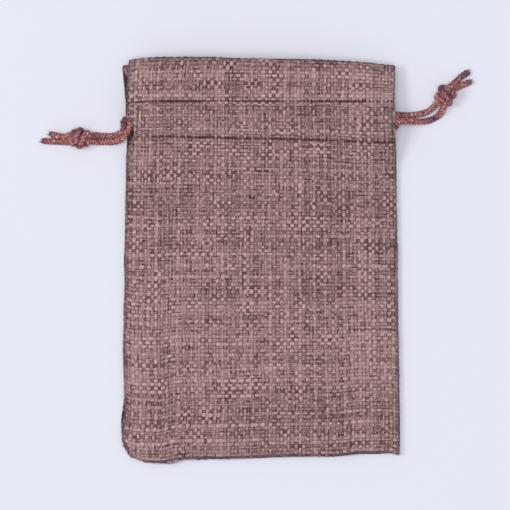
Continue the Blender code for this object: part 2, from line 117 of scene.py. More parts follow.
# Rows of the front panel from the bottom seam up to the mouth, as in the CAD part. side and middle are the
# heights of the cloth at its edges and half way across, or half way between its layers where it is double.
FRONT_ROWS = rows_of(
    PanelRow,
    ("body", 0.000, 0.0018, 0.0018, 0.0), ("body", 0.012, 0.0018, 0.0033, 0.0),
    ("body", 0.035, 0.0018, 0.0049, 0.0), ("body", 0.075, 0.0018, 0.0063, 0.0),
    ("body", 0.130, 0.0018, 0.0071, 0.0), ("body", 0.190, 0.0018, 0.0074, 0.0),
    ("body", 0.260, 0.0018, 0.0073, 0.0), ("body", 0.330, 0.0018, 0.0074, 0.0),
    ("body", 0.410, 0.0018, 0.0079, 0.0), ("body", 0.490, 0.0018, 0.0086, 0.0),
    ("body", 0.570, 0.0018, 0.0091, 0.0), ("body", 0.650, 0.0018, 0.0094, 0.0),
    ("body", 0.730, 0.0018, 0.0097, 0.0), ("body", 0.800, 0.0018, 0.0101, 0.0),
    ("body", 0.860, 0.0018, 0.0107, 0.0), ("body", 0.910, 0.0020, 0.0112, 0.0),
    ("body", 0.955, 0.0034, 0.0117, 0.0), ("body", 0.985, 0.0054, 0.0120, 0.0),
    ("channel", 0.00, 0.0057, 0.0115, PRESSED),
    ("channel", 0.08, 0.0062, 0.0114, PRESSED + 0.30 * (OVER_CORD - PRESSED)),
    ("channel", 0.18, 0.0069, 0.0113, PRESSED + 0.72 * (OVER_CORD - PRESSED)),
    ("channel", 0.28, 0.0073, 0.0113, OVER_CORD), ("channel", 0.56, 0.0074, 0.0113, OVER_CORD),
    ("channel", 0.85, 0.0072, 0.0112, OVER_CORD),
    ("channel", 0.93, 0.0068, 0.0111, PRESSED + 0.5 * (OVER_CORD - PRESSED)),
    ("channel", 1.00, 0.0062, 0.0110, PRESSED), ("heading", 0.14, 0.0058, 0.0108, PRESSED + 0.0002),
    ("heading", 0.40, 0.0052, 0.0107, PRESSED + 0.0004), ("heading", 0.70, 0.0047, 0.0106, PRESSED + 0.0002),
    ("heading", 1.00, 0.0044, 0.0105, PRESSED),
)
BACK_BODY_STEPS = (0.0, 0.02, 0.08, 0.20, 0.35, 0.50, 0.65, 0.80, 0.92, 0.985)

# Soft swells and dips in the front panel, as in the CAD part
SWELLS = rows_of(
    Swell,
    (-0.002, 0.012, 0.016, 0.012, 0.0005), (0.018, 0.004, 0.012, 0.014, 0.0004),
    (-0.024, 0.024, 0.012, 0.010, 0.0004), (-0.036, -0.022, 0.010, 0.016, -0.0006),
    (-0.004, -0.025, 0.018, 0.008, -0.0005), (0.020, -0.032, 0.010, 0.007, -0.0005),
    (0.012, -0.021, 0.010, 0.007, 0.0004), (-0.018, -0.048, 0.014, 0.009, 0.0004),
    (0.020, -0.047, 0.016, 0.009, 0.0005),
)

# Finer relief of the cloth
LOWER_FURROW = 0.00035  # how far each row of stitches pulls the cloth in
UPPER_FURROW = 0.00060
FURROW_WIDTH = 0.0006
FURROW_PARTING = 0.00016  # how far it pushes the nearest yarns apart
PUCKER_HEIGHT = 0.00038  # of the small ridges that run in from the side and bottom seams
PUCKER_REACH = 0.0050
PUCKER_LENGTH = 0.0042
PUCKER_RUN = 0.02  # how far a ridge goes on
RIPPLE_HEIGHT = 0.00022
RIPPLE_LENGTH = 0.013
FINE_RIPPLES = 2.3  # how many finer ripples, half as high, go to each of them
CALM_EDGE = 0.008  # how far from the edges the ripples have their full height
HEADING_REACH = 0.005  # how far they reach from the middle of the heading, at HEADING_SHARE of their height
HEADING_SHARE = 0.6
BODY_END = 0.003  # how far below the lower seam the body's relief fades out, over BODY_FADE
BODY_FADE = 0.001
LEAST_RELIEF = 0.01  # smaller shares of the relief aren't worked out
ROLL_IN = 0.00042  # how far a yarn's last ring is turned back in under the cut edge, and how far down
ROLL_DOWN = 0.00046
EDGE_DROP = 0.00026  # how far down the ring before it is
WARP_START = 0.00025  # how far inside the bottom edge a warp yarn's second ring lies
WEFT_INSET = 0.00012  # how far inside the side edges a weft yarn's second ring lies
TURNED_IN = 0.00035  # how far the cloth dips where its edge is turned in at the slits and corners
TURN_SLOPE = 0.6  # and how much of that for each metre that is turned in
TURN_SHARE = 0.15  # how much of the turned cloth's width runs back under the edge
YARN_LINE_ROUNDS = 6  # how often the place of a straight yarn is corrected

# The weave
YARN_PITCH = 0.0013
WARP_YARNS = 74
YARN_WIDTH = 0.00125
OWN_WIDTHS = 0.13  # how much the yarns' widths differ
SLUBS = ((0.16, 11), (0.13, 3))  # thick and thin places along them: how much, and how many crossings long
WIDTH_LIMITS = (0.45 * YARN_WIDTH, 1.40 * YARN_WIDTH)
YARN_HEIGHT = 0.00050
EVEN_HEIGHT = 0.8  # the share of a yarn's height that doesn't change with its width, and the one that does
WIDTH_HEIGHT = 0.2
CRIMP = 0.00021  # how far a yarn's middle swings to each side of the cloth's middle
CRIMP_SPREAD = 0.22
OVER_FULLNESS = 0.07  # how much wider a yarn is where it lies on top, and narrower where it lies below
YARN_SIDES = 6
YARN_OFFSET = 0.00007  # how far each yarn lies aside, and its bends: how far, and how many crossings long
BENDS = ((0.00014, 13), (0.00007, 4))
LIE_LIMIT = 0.0004
BLOOM_SIZE = 0.008  # of the patches where the yarns are fuller
BLOOM = 0.28
GROUND = 0.00020  # thickness of the ground sheet between the yarns, whose dark colour is painted shade in the gaps
GROUND_INSET = 0.00015
GROUND_ROWS = 100
LOWEST_YARN = 0.00002  # no yarn reaches below this height
LOWEST_FIBRE = 0.00003  # and nothing of a cord below this one

# The sewing
STITCH_LENGTH = 0.0026
STITCH_GAP = 0.0003
STITCH_MARGIN = 0.0012  # of cloth without stitches at each end of a row
STITCH_SINK = 0.00030  # how much lower a stitch's ends lie
THREAD_DIAMETER = 0.00040
THREAD_SIDES = 6
STITCH_RINGS = 7
LOWER_RISE = 0.00062  # how far the thread's middle stands out of the furrow
UPPER_RISE = 0.00082
BAR_X = -0.0420  # the middle of the bar stitch
BAR_Y = 0.0514
BAR_START = 0.0058
BAR_END = 0.0104  # how far above the lower seam it starts and ends, along the cloth
BAR_FURROW = 0.00055
BAR_FURROW_WIDTH = 0.0007
BAR_FURROW_PAST = 0.0003  # how far the furrow goes on past the thread
BAR_RINGS = 9
BAR_RISE = (0.00035, 0.00040)  # of the thread at its ends, and how much more half way
BAR_ASIDE = 0.00020  # how far each of its two threads lies from the middle

# The cords
CORD_STEP = 0.00030
CORD_SIDES = 24
CORD_FULLNESS = 1.19  # the plies stand out past the cord's nominal size
PLIES = 3
PLY_OFFSET = 0.46  # shares of the cord's radius
PLY_RADIUS = 0.55
LAY_LENGTH = 0.0035  # of one turn of a ply
TIP_SHARE = 0.62  # the cord's share of its radius at its very tips, and how far it tapers
TAPER_LENGTH = 0.0012
CORD_SLUBS = (0.05, 9)  # how much its thickness changes, and over how many steps
LINE_STEPS = 24  # steps between two marks of a route
TIP_HAIRS = 12  # loose fibres at each tip
HAIR_POINTS = 6
HAIR_SIDES = 4
HAIR_THICKNESS = 0.00012
HAIR_THINNING = 0.6  # how much thinner it is at its end
HAIR_LENGTH = 0.0012
HAIR_LENGTHS = (0.6, 1.3)  # shares of it
HAIR_ROOT = 0.0006  # how far inside the tip it starts
HAIR_OUT = (0.0001, 0.0006)  # how far from the cord's middle
HAIR_SPREAD = 0.0006
HAIR_BEND = 0.00035
HAIR_LIFT = 0.2  # the share of its bend that goes up or down
TIP_DEPTH = 4  # points from the tip to the one that gives its direction

# The cords' routes: as in the CAD part inside the pouch, and closer together outside it. A cord also goes
# through its knot, at both ends of its route, and on to the tips of its two tails.
LEFT_CORD_ROUTE = (
    (-0.0570, 0.0414, 0.0010), (-0.0545, 0.0414, 0.0011), (-0.0520, 0.0414, 0.0019),
    (-0.0500, 0.0418, 0.0028), (-0.0482, 0.0429, 0.0040), (-0.0468, 0.0446, 0.0053),
    (-0.0456, 0.0470, 0.0066), (-0.0447, 0.0494, 0.0072), (-0.0438, 0.0513, 0.0073),
    (-0.0423, 0.0524, 0.0074), (-0.0400, 0.0528, 0.0079), (-0.0365, 0.0526, 0.0086),
    (-0.0300, 0.0523, 0.0097), (-0.0200, 0.0521, 0.0107), (-0.0100, 0.0520, 0.0111), (0.0000, 0.0519, 0.0112),
    (0.0100, 0.0518, 0.0112), (0.0200, 0.0517, 0.0109), (0.0300, 0.0516, 0.0101), (0.0380, 0.0515, 0.0090),
    (0.0430, 0.0513, 0.0081), (0.0453, 0.0510, 0.0075), (0.0468, 0.0504, 0.0064), (0.0475, 0.0496, 0.0053),
    (0.0479, 0.0482, 0.0040), (0.0474, 0.0468, 0.0029), (0.0456, 0.0462, 0.0024), (0.0420, 0.0462, 0.0023),
    (0.0300, 0.0464, 0.0023), (0.0150, 0.0467, 0.0023), (0.0000, 0.0469, 0.0023), (-0.0150, 0.0472, 0.0023),
    (-0.0300, 0.0474, 0.0023), (-0.0400, 0.0474, 0.0023), (-0.0438, 0.0475, 0.0023),
    (-0.0457, 0.0486, 0.0024), (-0.0471, 0.0493, 0.0025), (-0.0479, 0.0482, 0.0024),
    (-0.0478, 0.0467, 0.0021), (-0.0481, 0.0453, 0.0015), (-0.0494, 0.0442, 0.0010),
    (-0.0518, 0.0435, 0.0010), (-0.0545, 0.0435, 0.0010), (-0.0570, 0.0436, 0.0012),
)
RIGHT_CORD_ROUTE = (
    (0.0631, 0.0514, 0.0011), (0.0605, 0.0495, 0.0010), (0.0575, 0.0486, 0.0011), (0.0548, 0.0485, 0.0025),
    (0.0522, 0.0485, 0.0047), (0.0498, 0.0485, 0.0065), (0.0476, 0.0483, 0.0074), (0.0455, 0.0482, 0.0075),
    (0.0420, 0.0482, 0.0083), (0.0380, 0.0481, 0.0090), (0.0300, 0.0481, 0.0102), (0.0200, 0.0480, 0.0110),
    (0.0100, 0.0480, 0.0113), (0.0000, 0.0479, 0.0113), (-0.0100, 0.0479, 0.0112), (-0.0200, 0.0478, 0.0108),
    (-0.0300, 0.0478, 0.0098), (-0.0365, 0.0477, 0.0087), (-0.0400, 0.0477, 0.0080),
    (-0.0418, 0.0480, 0.0072), (-0.0429, 0.0487, 0.0055), (-0.0430, 0.0494, 0.0037),
    (-0.0422, 0.0498, 0.0026), (-0.0405, 0.0499, 0.0023), (-0.0370, 0.0500, 0.0023),
    (-0.0250, 0.0502, 0.0023), (-0.0100, 0.0504, 0.0023), (0.0050, 0.0505, 0.0023), (0.0200, 0.0506, 0.0023),
    (0.0350, 0.0507, 0.0023), (0.0450, 0.0507, 0.0023), (0.0485, 0.0507, 0.0018), (0.0520, 0.0507, 0.0011),
    (0.0560, 0.0512, 0.0010), (0.0590, 0.0523, 0.0011),
)
LEFT_TAILS = (
    ((-0.0682, 0.0413, 0.0012), (-0.0705, 0.0415, 0.0010), (-0.0735, 0.0416, 0.0010),
     (-0.0767, 0.0418, 0.0010)),
    ((-0.0682, 0.0431, 0.0029), (-0.0700, 0.0433, 0.0026), (-0.0720, 0.0438, 0.0018),
     (-0.0739, 0.0443, 0.0013)),
)
RIGHT_TAILS = (
    ((0.0682, 0.0622, 0.0012), (0.0704, 0.0643, 0.0010), (0.0731, 0.0660, 0.0010)),
    ((0.0687, 0.0604, 0.0013), (0.0710, 0.0614, 0.0010), (0.0738, 0.0626, 0.0010)),
)

# Where the cords are dusky: x, y, z and how far along the cord from there. The first of the left cord's is
# painted shade on its loop beside the slit.
LEFT_DUSKY_SPOTS = (
    (-0.0479, 0.0482, 0.0024, 0.005), (-0.0625, 0.0455, 0.0045, 0.004), (-0.0650, 0.0455, 0.0045, 0.004),
)
RIGHT_DUSKY_SPOTS = (
    (0.0620, 0.0590, 0.0045, 0.004), (0.0725, 0.0655, 0.0010, 0.005), (0.0600, 0.0500, 0.0011, 0.004),
)

# A knot is tied in both strands at once. Each strand runs through the knot's middle, turns back, winds once
# round the outside and runs through the middle again. Its steps are scaled along, across and up.
LEFT_KNOT = Knot(-0.0629, 0.0427, 0.0034, math.radians(176), 0.88, 1.05, 0.92, -40)
RIGHT_KNOT = Knot(0.0648, 0.0577, 0.0034, math.radians(62), 0.92, 1.0, 0.92, 200)
KNOT_STEPS = rows_of(
    KnotStep,
    (-0.0034, 0, 0.0012), (-0.0012, 0, 0.0009), (0.0008, 0, 0.0009), (0.0022, 15, 0.0013),
    (0.0027, 60, 0.0022), (0.0022, 110, 0.0025), (0.0014, 160, 0.0025), (0.0005, 210, 0.0025),
    (-0.0004, 260, 0.0025), (-0.0013, 310, 0.0025), (-0.0021, 355, 0.0023), (-0.0024, 400, 0.0016),
    (-0.0014, 425, 0.0010), (0.0004, 430, 0.0009), (0.0022, 430, 0.0010), (0.0036, 430, 0.0012),
)

# What each finish looks like
YARN_DARK = (0.113, 0.053, 0.054, 1.0)
YARN_LIGHT = (0.54, 0.350, 0.342, 1.0)
# Painted shade of the turned-in cut edges and of the fold
RIM_SHADE_COLOR = (0.085, 0.062, 0.078, 1.0)
# The ground's dark colour is painted shade in the gaps between the yarns
GROUND_PAINTED_SHADE = (0.060, 0.028, 0.030, 1.0)
GROUND_LIGHT = (0.420, 0.265, 0.262, 1.0)
CORD_DARK = (0.150, 0.042, 0.040, 1.0)
CORD_BROWN = (0.550, 0.228, 0.190, 1.0)
CORD_ROSE = (0.580, 0.228, 0.245, 1.0)
CORD_SPECK = (0.800, 0.560, 0.540, 1.0)
CORD_DUSK_DARK = (0.070, 0.032, 0.042, 1.0)
CORD_DUSK_LIGHT = (0.250, 0.130, 0.155, 1.0)
THREAD_DARK = (0.050, 0.022, 0.023, 1.0)
THREAD_LIGHT = (0.520, 0.340, 0.330, 1.0)
BAR_THREAD_DARK = (0.380, 0.225, 0.220, 1.0)
BAR_THREAD_LIGHT = (0.640, 0.430, 0.420, 1.0)
FLOOR_COLOR = (0.768, 0.778, 0.851, 1.0)

# The yarns' shade runs from 0, which is YARN_DARK, to 1. A rate is a number of patches to a metre, a level is
# where a thing starts to show, an edge is how sharply it does, a fade is how much of it is lost in a metre,
# and the number named after what is seen is how strongly it shows.
ROUGHNESS = 0.92
WARP_SEED = 11.0
WEFT_SEED = 53.0
MEAN_SHADE = 0.43
OWN_SHADES = 0.5
DRIFT_RATE, DRIFT = 110.0, 0.8
FLECK_RATE, FLECKS = 480.0, 0.9
FIBRE_RATE, FIBRES = 1400.0, 0.1
# Painted shade on the yarns: their flanks are darker and their crowns lighter
CROWN_LEVEL, PAINTED_FLANK_SHADE = 0.76, 1.1
NEP_RATE, NEP_LEVEL, NEPS = 420.0, 0.66, 5.0
PATCH_RATE, PATCHES = 120.0, 1.8
SLOW_RATE, SLOW_SHADES = 26.0, 0.3
HEM_START, HEM_EDGE, HEM_LIGHTER = 0.0425, 400.0, 0.045
TWIST_RATE = 5200.0
# Painted shade: dark lines in the gaps between some yarns
LINE_RUN = 0.42  # of a dark line between two yarns, for each yarn that it passes
LINE_LEVEL, LINE_EDGE, GAP_SHADE_LINES = 0.57, 10.0, 0.6
SIDE_LEVEL, SIDE_EDGE = 0.86, 5.0  # where a line lies on the yarn beside it
CROSS_WIDTH, CROSS_EDGE = 0.26, 8.0  # and on a yarn that it crosses
# Painted shade in the seams' furrows
TONE_RATE = 80.0  # of the marks at the seams
SEAM_FADE = 1500.0
SEAM_TONE, LOWER_LEVEL, UPPER_LEVEL = 3.0, 1.1, 1.0
LOWER_SEAM_SHADE, UPPER_SEAM_SHADE = 0.7, 0.9
DARK_SEAM_X, DARK_SEAM_FADE = -0.028, 80.0
# Painted shade beside the bar stitch
BAR_SHADE, BAR_SHADE_FADE = 0.00072, 2600.0  # how far from the middle of the bar stitch the cloth is dark
BAR_LENGTH_FADE, BAR_LENGTH_EDGE = 360.0, 4.0
BAR_PAINTED_SHADE, BAR_RIGHT_SHARE = 0.9, 0.6
# Painted shade on the turned-in cut edges and in marks along the fold
MARK_RATE = 420.0  # of the marks at the edges and the fold
RIM_LEVEL, RIM_FADE = 1.4, 1200.0
RIM_TONE, RIM_TONE_LEVEL = 1.8, 0.05
RIM_EDGE, RIM_START = 4000.0, 0.35  # the very edge is lighter again
RIM_CROWN, RIM_CROWN_LEVEL = 3.0, 0.7
BOTTOM_START, BOTTOM_EDGE = -0.062, 300.0
# Painted shade in marks along the fold at the mouth
FOLD_LEVEL, FOLD_FADE, FOLD_SHADE_MARKS, FOLD_MARK_LEVEL = 1.5, 1400.0, 4.0, 1.3
EDGE_SHADE_COVER = 0.85
# The stretches of the bottom edge where the painted shade is deeper: where each has its middle, half its
# length, and how deep it is
DEEP_RIM_SHADE_STRETCHES = ((-0.0383, 0.0062, 0.00095), (-0.0170, 0.0062, 0.00065), (0.0345, 0.0100, 0.00055))
STRETCH_EDGE = 600.0
UNEVEN_DEPTH = 0.0011

# The other finishes, in the same way
GROUND_RATE, GROUND_EDGE = 300.0, 4.0
THREAD_RATE, THREAD_EDGE = 330.0, 5.0
SEAM_THREAD_LEVEL, BAR_THREAD_LEVEL = 0.57, 0.45
TIP_FIBRE_RATE = 1500.0
# Painted shade on the cords: their plies are darker in the grooves and lighter on their crowns
PLY_GROOVE_SHADE, CORD_MEAN = 0.60, 0.14
CORD_FIBRE_RATE, CORD_FIBRES, CORD_PATCHES = 800.0, 1.9, 2.2
DUSK_RATE, DUSK, DUSK_MEAN = 130.0, 2.0, 0.10
TIP_FADE, TIP_DUSK, SPOT_DUSK = 450.0, 1.3, 1.1
ROSE_RATE, ROSE_EDGE, ROSE_MEAN = 90.0, 3.0, 0.55
SPECK_RATE, SPECK_LEVEL, SPECKS = 1000.0, 0.60, 7.0

# The camera looks straight down
CAMERA_X = -0.0019
CAMERA_Y = 0.0018
CAMERA_HEIGHT = 4.0
CAMERA_PLANE = 0.004  # the height at which the picture is PICTURE_WIDTH wide
PICTURE_WIDTH = 0.1785
SENSOR_MM = 36.0
NEAREST = 0.01

# The studio
SKY_COLOR, SKY_STRENGTH = (0.90, 0.915, 1.0, 1.0), 0.42
LIGHTS = (
    Light("overhead_soft_box", (0.0, 0.0, 5.0), 3.0, 124.0, (0.97, 0.98, 1.0)),
    Light("side_soft_box", (-1.72, 0.25, 2.4), 1.2, 25.0, (1.0, 0.98, 0.92)),
)
FLOOR_SIZE = 4.0
FLOOR_STEPS = 4
FLOOR_DARKER = 0.99  # the darkest of its faint shades


# Ways to read the tables

def mix(start, end, share):
    return start + (end - start) * share


def curve(start, end, leave, arrive, t):
    """A point on the curve from start to end that leaves and arrives with the given rises."""
    return (
        start * (1 + 2 * t) * (1 - t) ** 2
        + end * t * t * (3 - 2 * t)
        + leave * t * (1 - t) ** 2
        - arrive * t * t * (1 - t)
    )


def smooth_column(rows, key, column):
    """A function that reads a column of a table between its rows, on a curve that doesn't overshoot them."""
    places = [getattr(row, key) for row in rows]
    values = [getattr(row, column) for row in rows]
    rises = [(values[i + 1] - values[i]) / (places[i + 1] - places[i]) for i in range(len(rows) - 1)]
    slopes = [rises[0]]
    for before, after in zip(rises, rises[1:]):
        slopes.append(0.0 if before * after <= 0.0 else 2.0 * before * after / (before + after))
    slopes.append(rises[-1])

    def read(place):
        place = min(max(place, places[0]), places[-1])
        i = max(k for k in range(len(places) - 1) if places[k] <= place)
        step = places[i + 1] - places[i]
        t = (place - places[i]) / step
        return curve(values[i], values[i + 1], slopes[i] * step, slopes[i + 1] * step, t)

    return read


def crown_share(across):
    """How much of its crown the cloth has at a share of its width: 0 at the edges and 1 in the middle."""
    return 1.0 - abs(2.0 * across - 1.0) ** CROWN_POWER


def swell_height(x, y):
    return sum(
        swell.height * math.exp(-(((x - swell.x) / swell.width) ** 2) - ((y - swell.y) / swell.length) ** 2)
        for swell in SWELLS
    )


def wave_height(x, share):
    return share * WAVE_HEIGHT * math.sin(2 * math.pi * x / WAVE_LENGTH + WAVE_START)


class Panel:
    """One panel's cut and lie: where the cloth is at a row and a share of the width. The outer layer's yarns
    run straight past the slits and the rounded corners, and the cloth outside them is turned in."""

    def __init__(self, sides, rows, outer_side, soft, top_of, hem_insets):
        self.left = smooth_column(sides, "y", "left")
        self.right = smooth_column(sides, "y", "right")
        straight = [row for row in sides if CORNERS_END < row.y < SLIT_START or row.y > SLIT_END]
        self.straight_left = smooth_column(straight, "y", "left")
        self.straight_right = smooth_column(straight, "y", "right")
        self.bottom = smooth_column(FRONT_ENDS, "x", "bottom")
        self.lower = smooth_column(FRONT_ENDS, "x", "lower_stitch")
        self.upper = smooth_column(FRONT_ENDS, "x", "upper_stitch")
        self.top_of = top_of
        self.rows = rows
        self.outer_side = outer_side
        self.soft = soft
        self.hem_insets = hem_insets

    def row_y(self, row, across):
        """Where a row lies at a share of the pouch's nominal width."""
        start, end = {
            "body": (self.bottom, self.lower),
            "channel": (self.lower, self.upper),
            "heading": (self.upper, self.fold_start),
        }[row.band]
        x = mix(-HALF_WIDTH, HALF_WIDTH, across)
        return mix(start(x), end(x), row.along)

    def fold_start(self, x):
        return self.top_of(x) - CLOTH / 2 - FOLD_RADIUS

    def middle_height(self, row, across, x, y):
        height = mix(row.side, row.middle, crown_share(across))
        if self.soft:
            height += swell_height(x, y) * crown_share(across) if row.band == "body" else 0.0
            height += wave_height(x, row.along) if row.band == "heading" else 0.0
        return height

    def hem_point(self, row, across, inset_share):
        """A point of the layer that is folded inside."""
        y = self.row_y(row, across)
        left_inset, right_inset = (inset_share * inset for inset in self.hem_insets)
        x = mix(self.left(y) + left_inset, self.right(y) - right_inset, across)
        return x, y, self.middle_height(row, across, x, y)

    def outer_point(self, row, across):
        """A point of the outer layer, read along a straight yarn."""
        place = across
        for _ in range(YARN_LINE_ROUNDS):
            y = self.row_y(row, place)
            left, right = self.left(y), self.right(y)
            straight = mix(self.straight_left(y), self.straight_right(y), across)
            place = (place + min(max((straight - left) / (right - left), 0.0), 1.0)) / 2
        past_left, past_right = max(left - straight, 0.0), max(straight - right, 0.0)
        x = min(max(straight, left), right) + TURN_SHARE * (past_left - past_right)
        dip = min(TURN_SLOPE * (past_left + past_right), TURNED_IN) * self.outer_side
        return x, y, self.middle_height(row, place, x, y) - dip

    def point(self, row, layer, across, past_fold, inset_share):
        """A point of the cloth's middle surface; layer is 1 on the upper side, -1 on the lower one."""
        is_hem = layer * self.outer_side < 0
        x, y, z = self.hem_point(row, across, inset_share) if is_hem else self.outer_point(row, across)
        return x, y + past_fold, z + layer * row.ply_space / 2

    def lines(self):
        """The rows of points from the bottom seam, over the fold at the mouth and down to the hem's end."""
        outer = self.outer_side
        lines = [(row, outer, 0.0, 0.0) for row in self.rows]
        top = self.rows[-1]
        for step in range(1, FOLD_STEPS):
            angle = math.pi * step / FOLD_STEPS
            lines.append((top, outer * math.cos(angle), FOLD_RADIUS * math.sin(angle), 0.0))
        for row in reversed(self.rows):
            if row.band != "body":
                lines.append((row, -outer, 0.0, 1.0 if row.band == "channel" else 1.0 - row.along))
        last = [row for row in self.rows if row.band == "body"][-1]
        between = -outer * PRESSED / 2
        hem_end = last._replace(side=last.side + between, middle=last.middle + between, ply_space=PRESSED)
        lines.append((hem_end, -outer, 0.0, 1.0))
        return lines


front_top = smooth_column(FRONT_ENDS, "x", "top")


def back_top(x):
    return front_top(x) - BACK_TOP_DROP + BACK_TOP_TILT * min(x, 0.0)


def back_rows():
    """The back panel's outer layer lies flat, and its hem rises over the cords."""
    body = [PanelRow("body", along, CLOTH / 2, CLOTH / 2, 0.0) for along in BACK_BODY_STEPS]
    double = [
        row._replace(side=(CLOTH + row.ply_space) / 2, middle=(CLOTH + row.ply_space) / 2)
        for row in FRONT_ROWS
        if row.band != "body"
    ]
    return tuple(body + double)


def unit(vectors):
    return vectors / np.maximum(np.linalg.norm(vectors, axis=-1, keepdims=True), 1e-12)


def bell(distances, width):
    """1 at no distance, falling to nothing a few widths away."""
    return np.exp(-((distances / width) ** 2))


class Cloth:
    """A panel's middle surface as arrays, read at any distance from the bottom seam and at set shares of the
    width. Each row of points is followed on a smooth curve through the panel's lines."""

    def __init__(self, panel, shares):
        self.panel = panel
        self.shares = np.array(shares)
        lines = panel.lines()
        self.marks = np.array([
            [panel.point(row, layer, share, past_fold, inset_share) for share in shares]
            for row, layer, past_fold, inset_share in lines
        ])
        steps = np.linalg.norm(np.diff(self.marks, axis=0), axis=2).mean(axis=1)
        self.places = np.concatenate([[0.0], np.cumsum(steps)])
        rises = np.diff(self.marks, axis=0) / steps[:, None, None]
        weights = (steps[1:] / (steps[:-1] + steps[1:]))[:, None, None]
        inner = rises[:-1] * weights + rises[1:] * (1.0 - weights)
        self.slopes = np.concatenate([rises[:1], inner, rises[-1:]])
        bands = [line[0].band for line in lines]
        self.lower_seam = self.places[bands.index("channel")]
        self.upper_seam = self.places[bands.index("heading") - 1]
        self.fold = self.places[len(panel.rows) - 1 + FOLD_STEPS // 2]
        self.hem_seams = (self.places[len(lines) - 1 - bands[::-1].index("heading")], self.places[-2])
        self.length = self.places[-1]

    def smooth(self, places):
        i = np.clip(np.searchsorted(self.places, places, side="right") - 1, 0, len(self.places) - 2)
        step = self.places[i + 1] - self.places[i]
        t = ((places - self.places[i]) / step)[:, None, None]
        step = step[:, None, None]
        leave, arrive = self.slopes[i] * step, self.slopes[i + 1] * step
        return curve(self.marks[i], self.marks[i + 1], leave, arrive, t)

    def read(self, places):
        """Points, directions across and along the cloth, and the direction out of its outer face."""
        reach = 0.00015
        points = self.smooth(places)
        ahead = self.smooth(np.minimum(places + reach, self.length))
        along = unit(ahead - self.smooth(np.maximum(places - reach, 0.0)))
        across = unit(np.gradient(points, axis=1))
        outward = unit(np.cross(across, along)) * self.panel.outer_side
        points = points + outward * self.relief(places, points)[:, :, None]
        return points, across, along, outward

    def weft_places(self):
        """Where each weft yarn lies: evenly between the seams and the fold, each seam between two yarns."""
        marks = [0.0, self.lower_seam, self.upper_seam, self.fold, *self.hem_seams]
        places = []
        for start, end in zip(marks, marks[1:]):
            count = round((end - start) / YARN_PITCH)
            band = start + (np.arange(count) + 0.5) * (end - start) / count
            if start in (self.lower_seam, self.upper_seam):
                band[0] += FURROW_PARTING
            if end in (self.lower_seam, self.upper_seam):
                band[-1] -= FURROW_PARTING
            places.append(band)
        return np.concatenate(places)

    def relief(self, places, points):
        """How far the cloth stands out at the puckers and ripples, less what the stitches pull in."""
        furrow = LOWER_FURROW * bell(places - self.lower_seam, FURROW_WIDTH)
        furrow += UPPER_FURROW * bell(places - self.upper_seam, FURROW_WIDTH)
        height = -furrow[:, None] * np.ones(points.shape[:2])
        if not self.panel.soft:
            return height
        from_seam = places - self.lower_seam
        on_bar = (from_seam > BAR_START - BAR_FURROW_PAST) & (from_seam < BAR_END + BAR_FURROW_PAST)
        height -= BAR_FURROW * on_bar[:, None] * bell(points[..., 0] - BAR_X, BAR_FURROW_WIDTH)
        on_body = 1.0 / (1.0 + np.exp((from_seam + BODY_END) / BODY_FADE))
        on_heading = bell(places - (self.upper_seam + self.fold) / 2, HEADING_REACH)
        width = self.shares * 2 * HALF_WIDTH
        from_side = np.minimum(width, 2 * HALF_WIDTH - width)
        for i in np.flatnonzero(on_body + on_heading >= LEAST_RELIEF):
            for j, (x, y, _) in enumerate(points[i]):
                height[i, j] += on_body[i] * PUCKER_HEIGHT * pucker(x, y, from_side[j], places[i])
                rippled = on_body[i] + HEADING_SHARE * on_heading[i]
                calm = max(min(1.0, from_side[j] / CALM_EDGE, places[i] / CALM_EDGE), 0.0)
                height[i, j] += rippled * RIPPLE_HEIGHT * ripple(x, y) * calm
        return height


def pucker(x, y, from_side, from_end):
    """The small ridges that run in from the side seams and the bottom seam."""
    side_ridge = 0.5 + 0.5 * noise.noise(Vector((x / PUCKER_RUN, y / PUCKER_LENGTH, 3.0)))
    end_ridge = 0.5 + 0.5 * noise.noise(Vector((x / PUCKER_LENGTH, y / PUCKER_RUN, 7.0)))
    near_side = math.exp(-max(from_side, 0.0) / PUCKER_REACH)
    return near_side * side_ridge + math.exp(-from_end / PUCKER_REACH) * end_ridge


def ripple(x, y):
    broad = noise.noise(Vector((x / RIPPLE_LENGTH, y / RIPPLE_LENGTH, 1.0)))
    x, y = x * FINE_RIPPLES, y * FINE_RIPPLES
    return broad + 0.5 * noise.noise(Vector((x / RIPPLE_LENGTH, y / RIPPLE_LENGTH, 5.0)))


# Meshes

def finish_mesh(name, bm, smooth=True):
    mesh = bpy.data.meshes.new(name)
    bm.to_mesh(mesh)
    bm.free()
    if smooth:
        mesh.shade_smooth()
    piece = bpy.data.objects.new(name, mesh)
    bpy.context.scene.collection.objects.link(piece)
    return piece


def mesh_points(mesh):
    points = np.empty(len(mesh.vertices) * 3, np.float32)
    mesh.vertices.foreach_get("co", points)
    return points.reshape(-1, 3)


def dress(piece, material, node):
    piece.data.materials.clear()
    piece.data.materials.append(material)
    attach(piece, "root")
    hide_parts(node)
    return piece


def roll_tube(name, tubes, steps, sides):
    """One closed tube with steps of 1 along x, rolled up from a grid, and its strip of the map."""
    bm = bmesh.new()
    layer = bm.loops.layers.uv.new("OFBake")
    bmesh.ops.create_grid(bm, x_segments=steps - 1, y_segments=sides, size=1.0, calc_uvs=True)
    for face in bm.faces:
        for loop in face.loops:
            loop[layer].uv.y /= tubes
    for vert in bm.verts:
        ring = round((vert.co.x + 1.0) / 2.0 * (steps - 1))
        angle = 2.0 * math.pi * round((vert.co.y + 1.0) / 2.0 * sides) / sides
        vert.co = Vector((ring, math.cos(angle), math.sin(angle)))
    bmesh.ops.remove_doubles(bm, verts=bm.verts, dist=0.001)
    bmesh.ops.holes_fill(bm, edges=[edge for edge in bm.edges if edge.is_boundary], sides=0)
    return finish_mesh(name, bm)


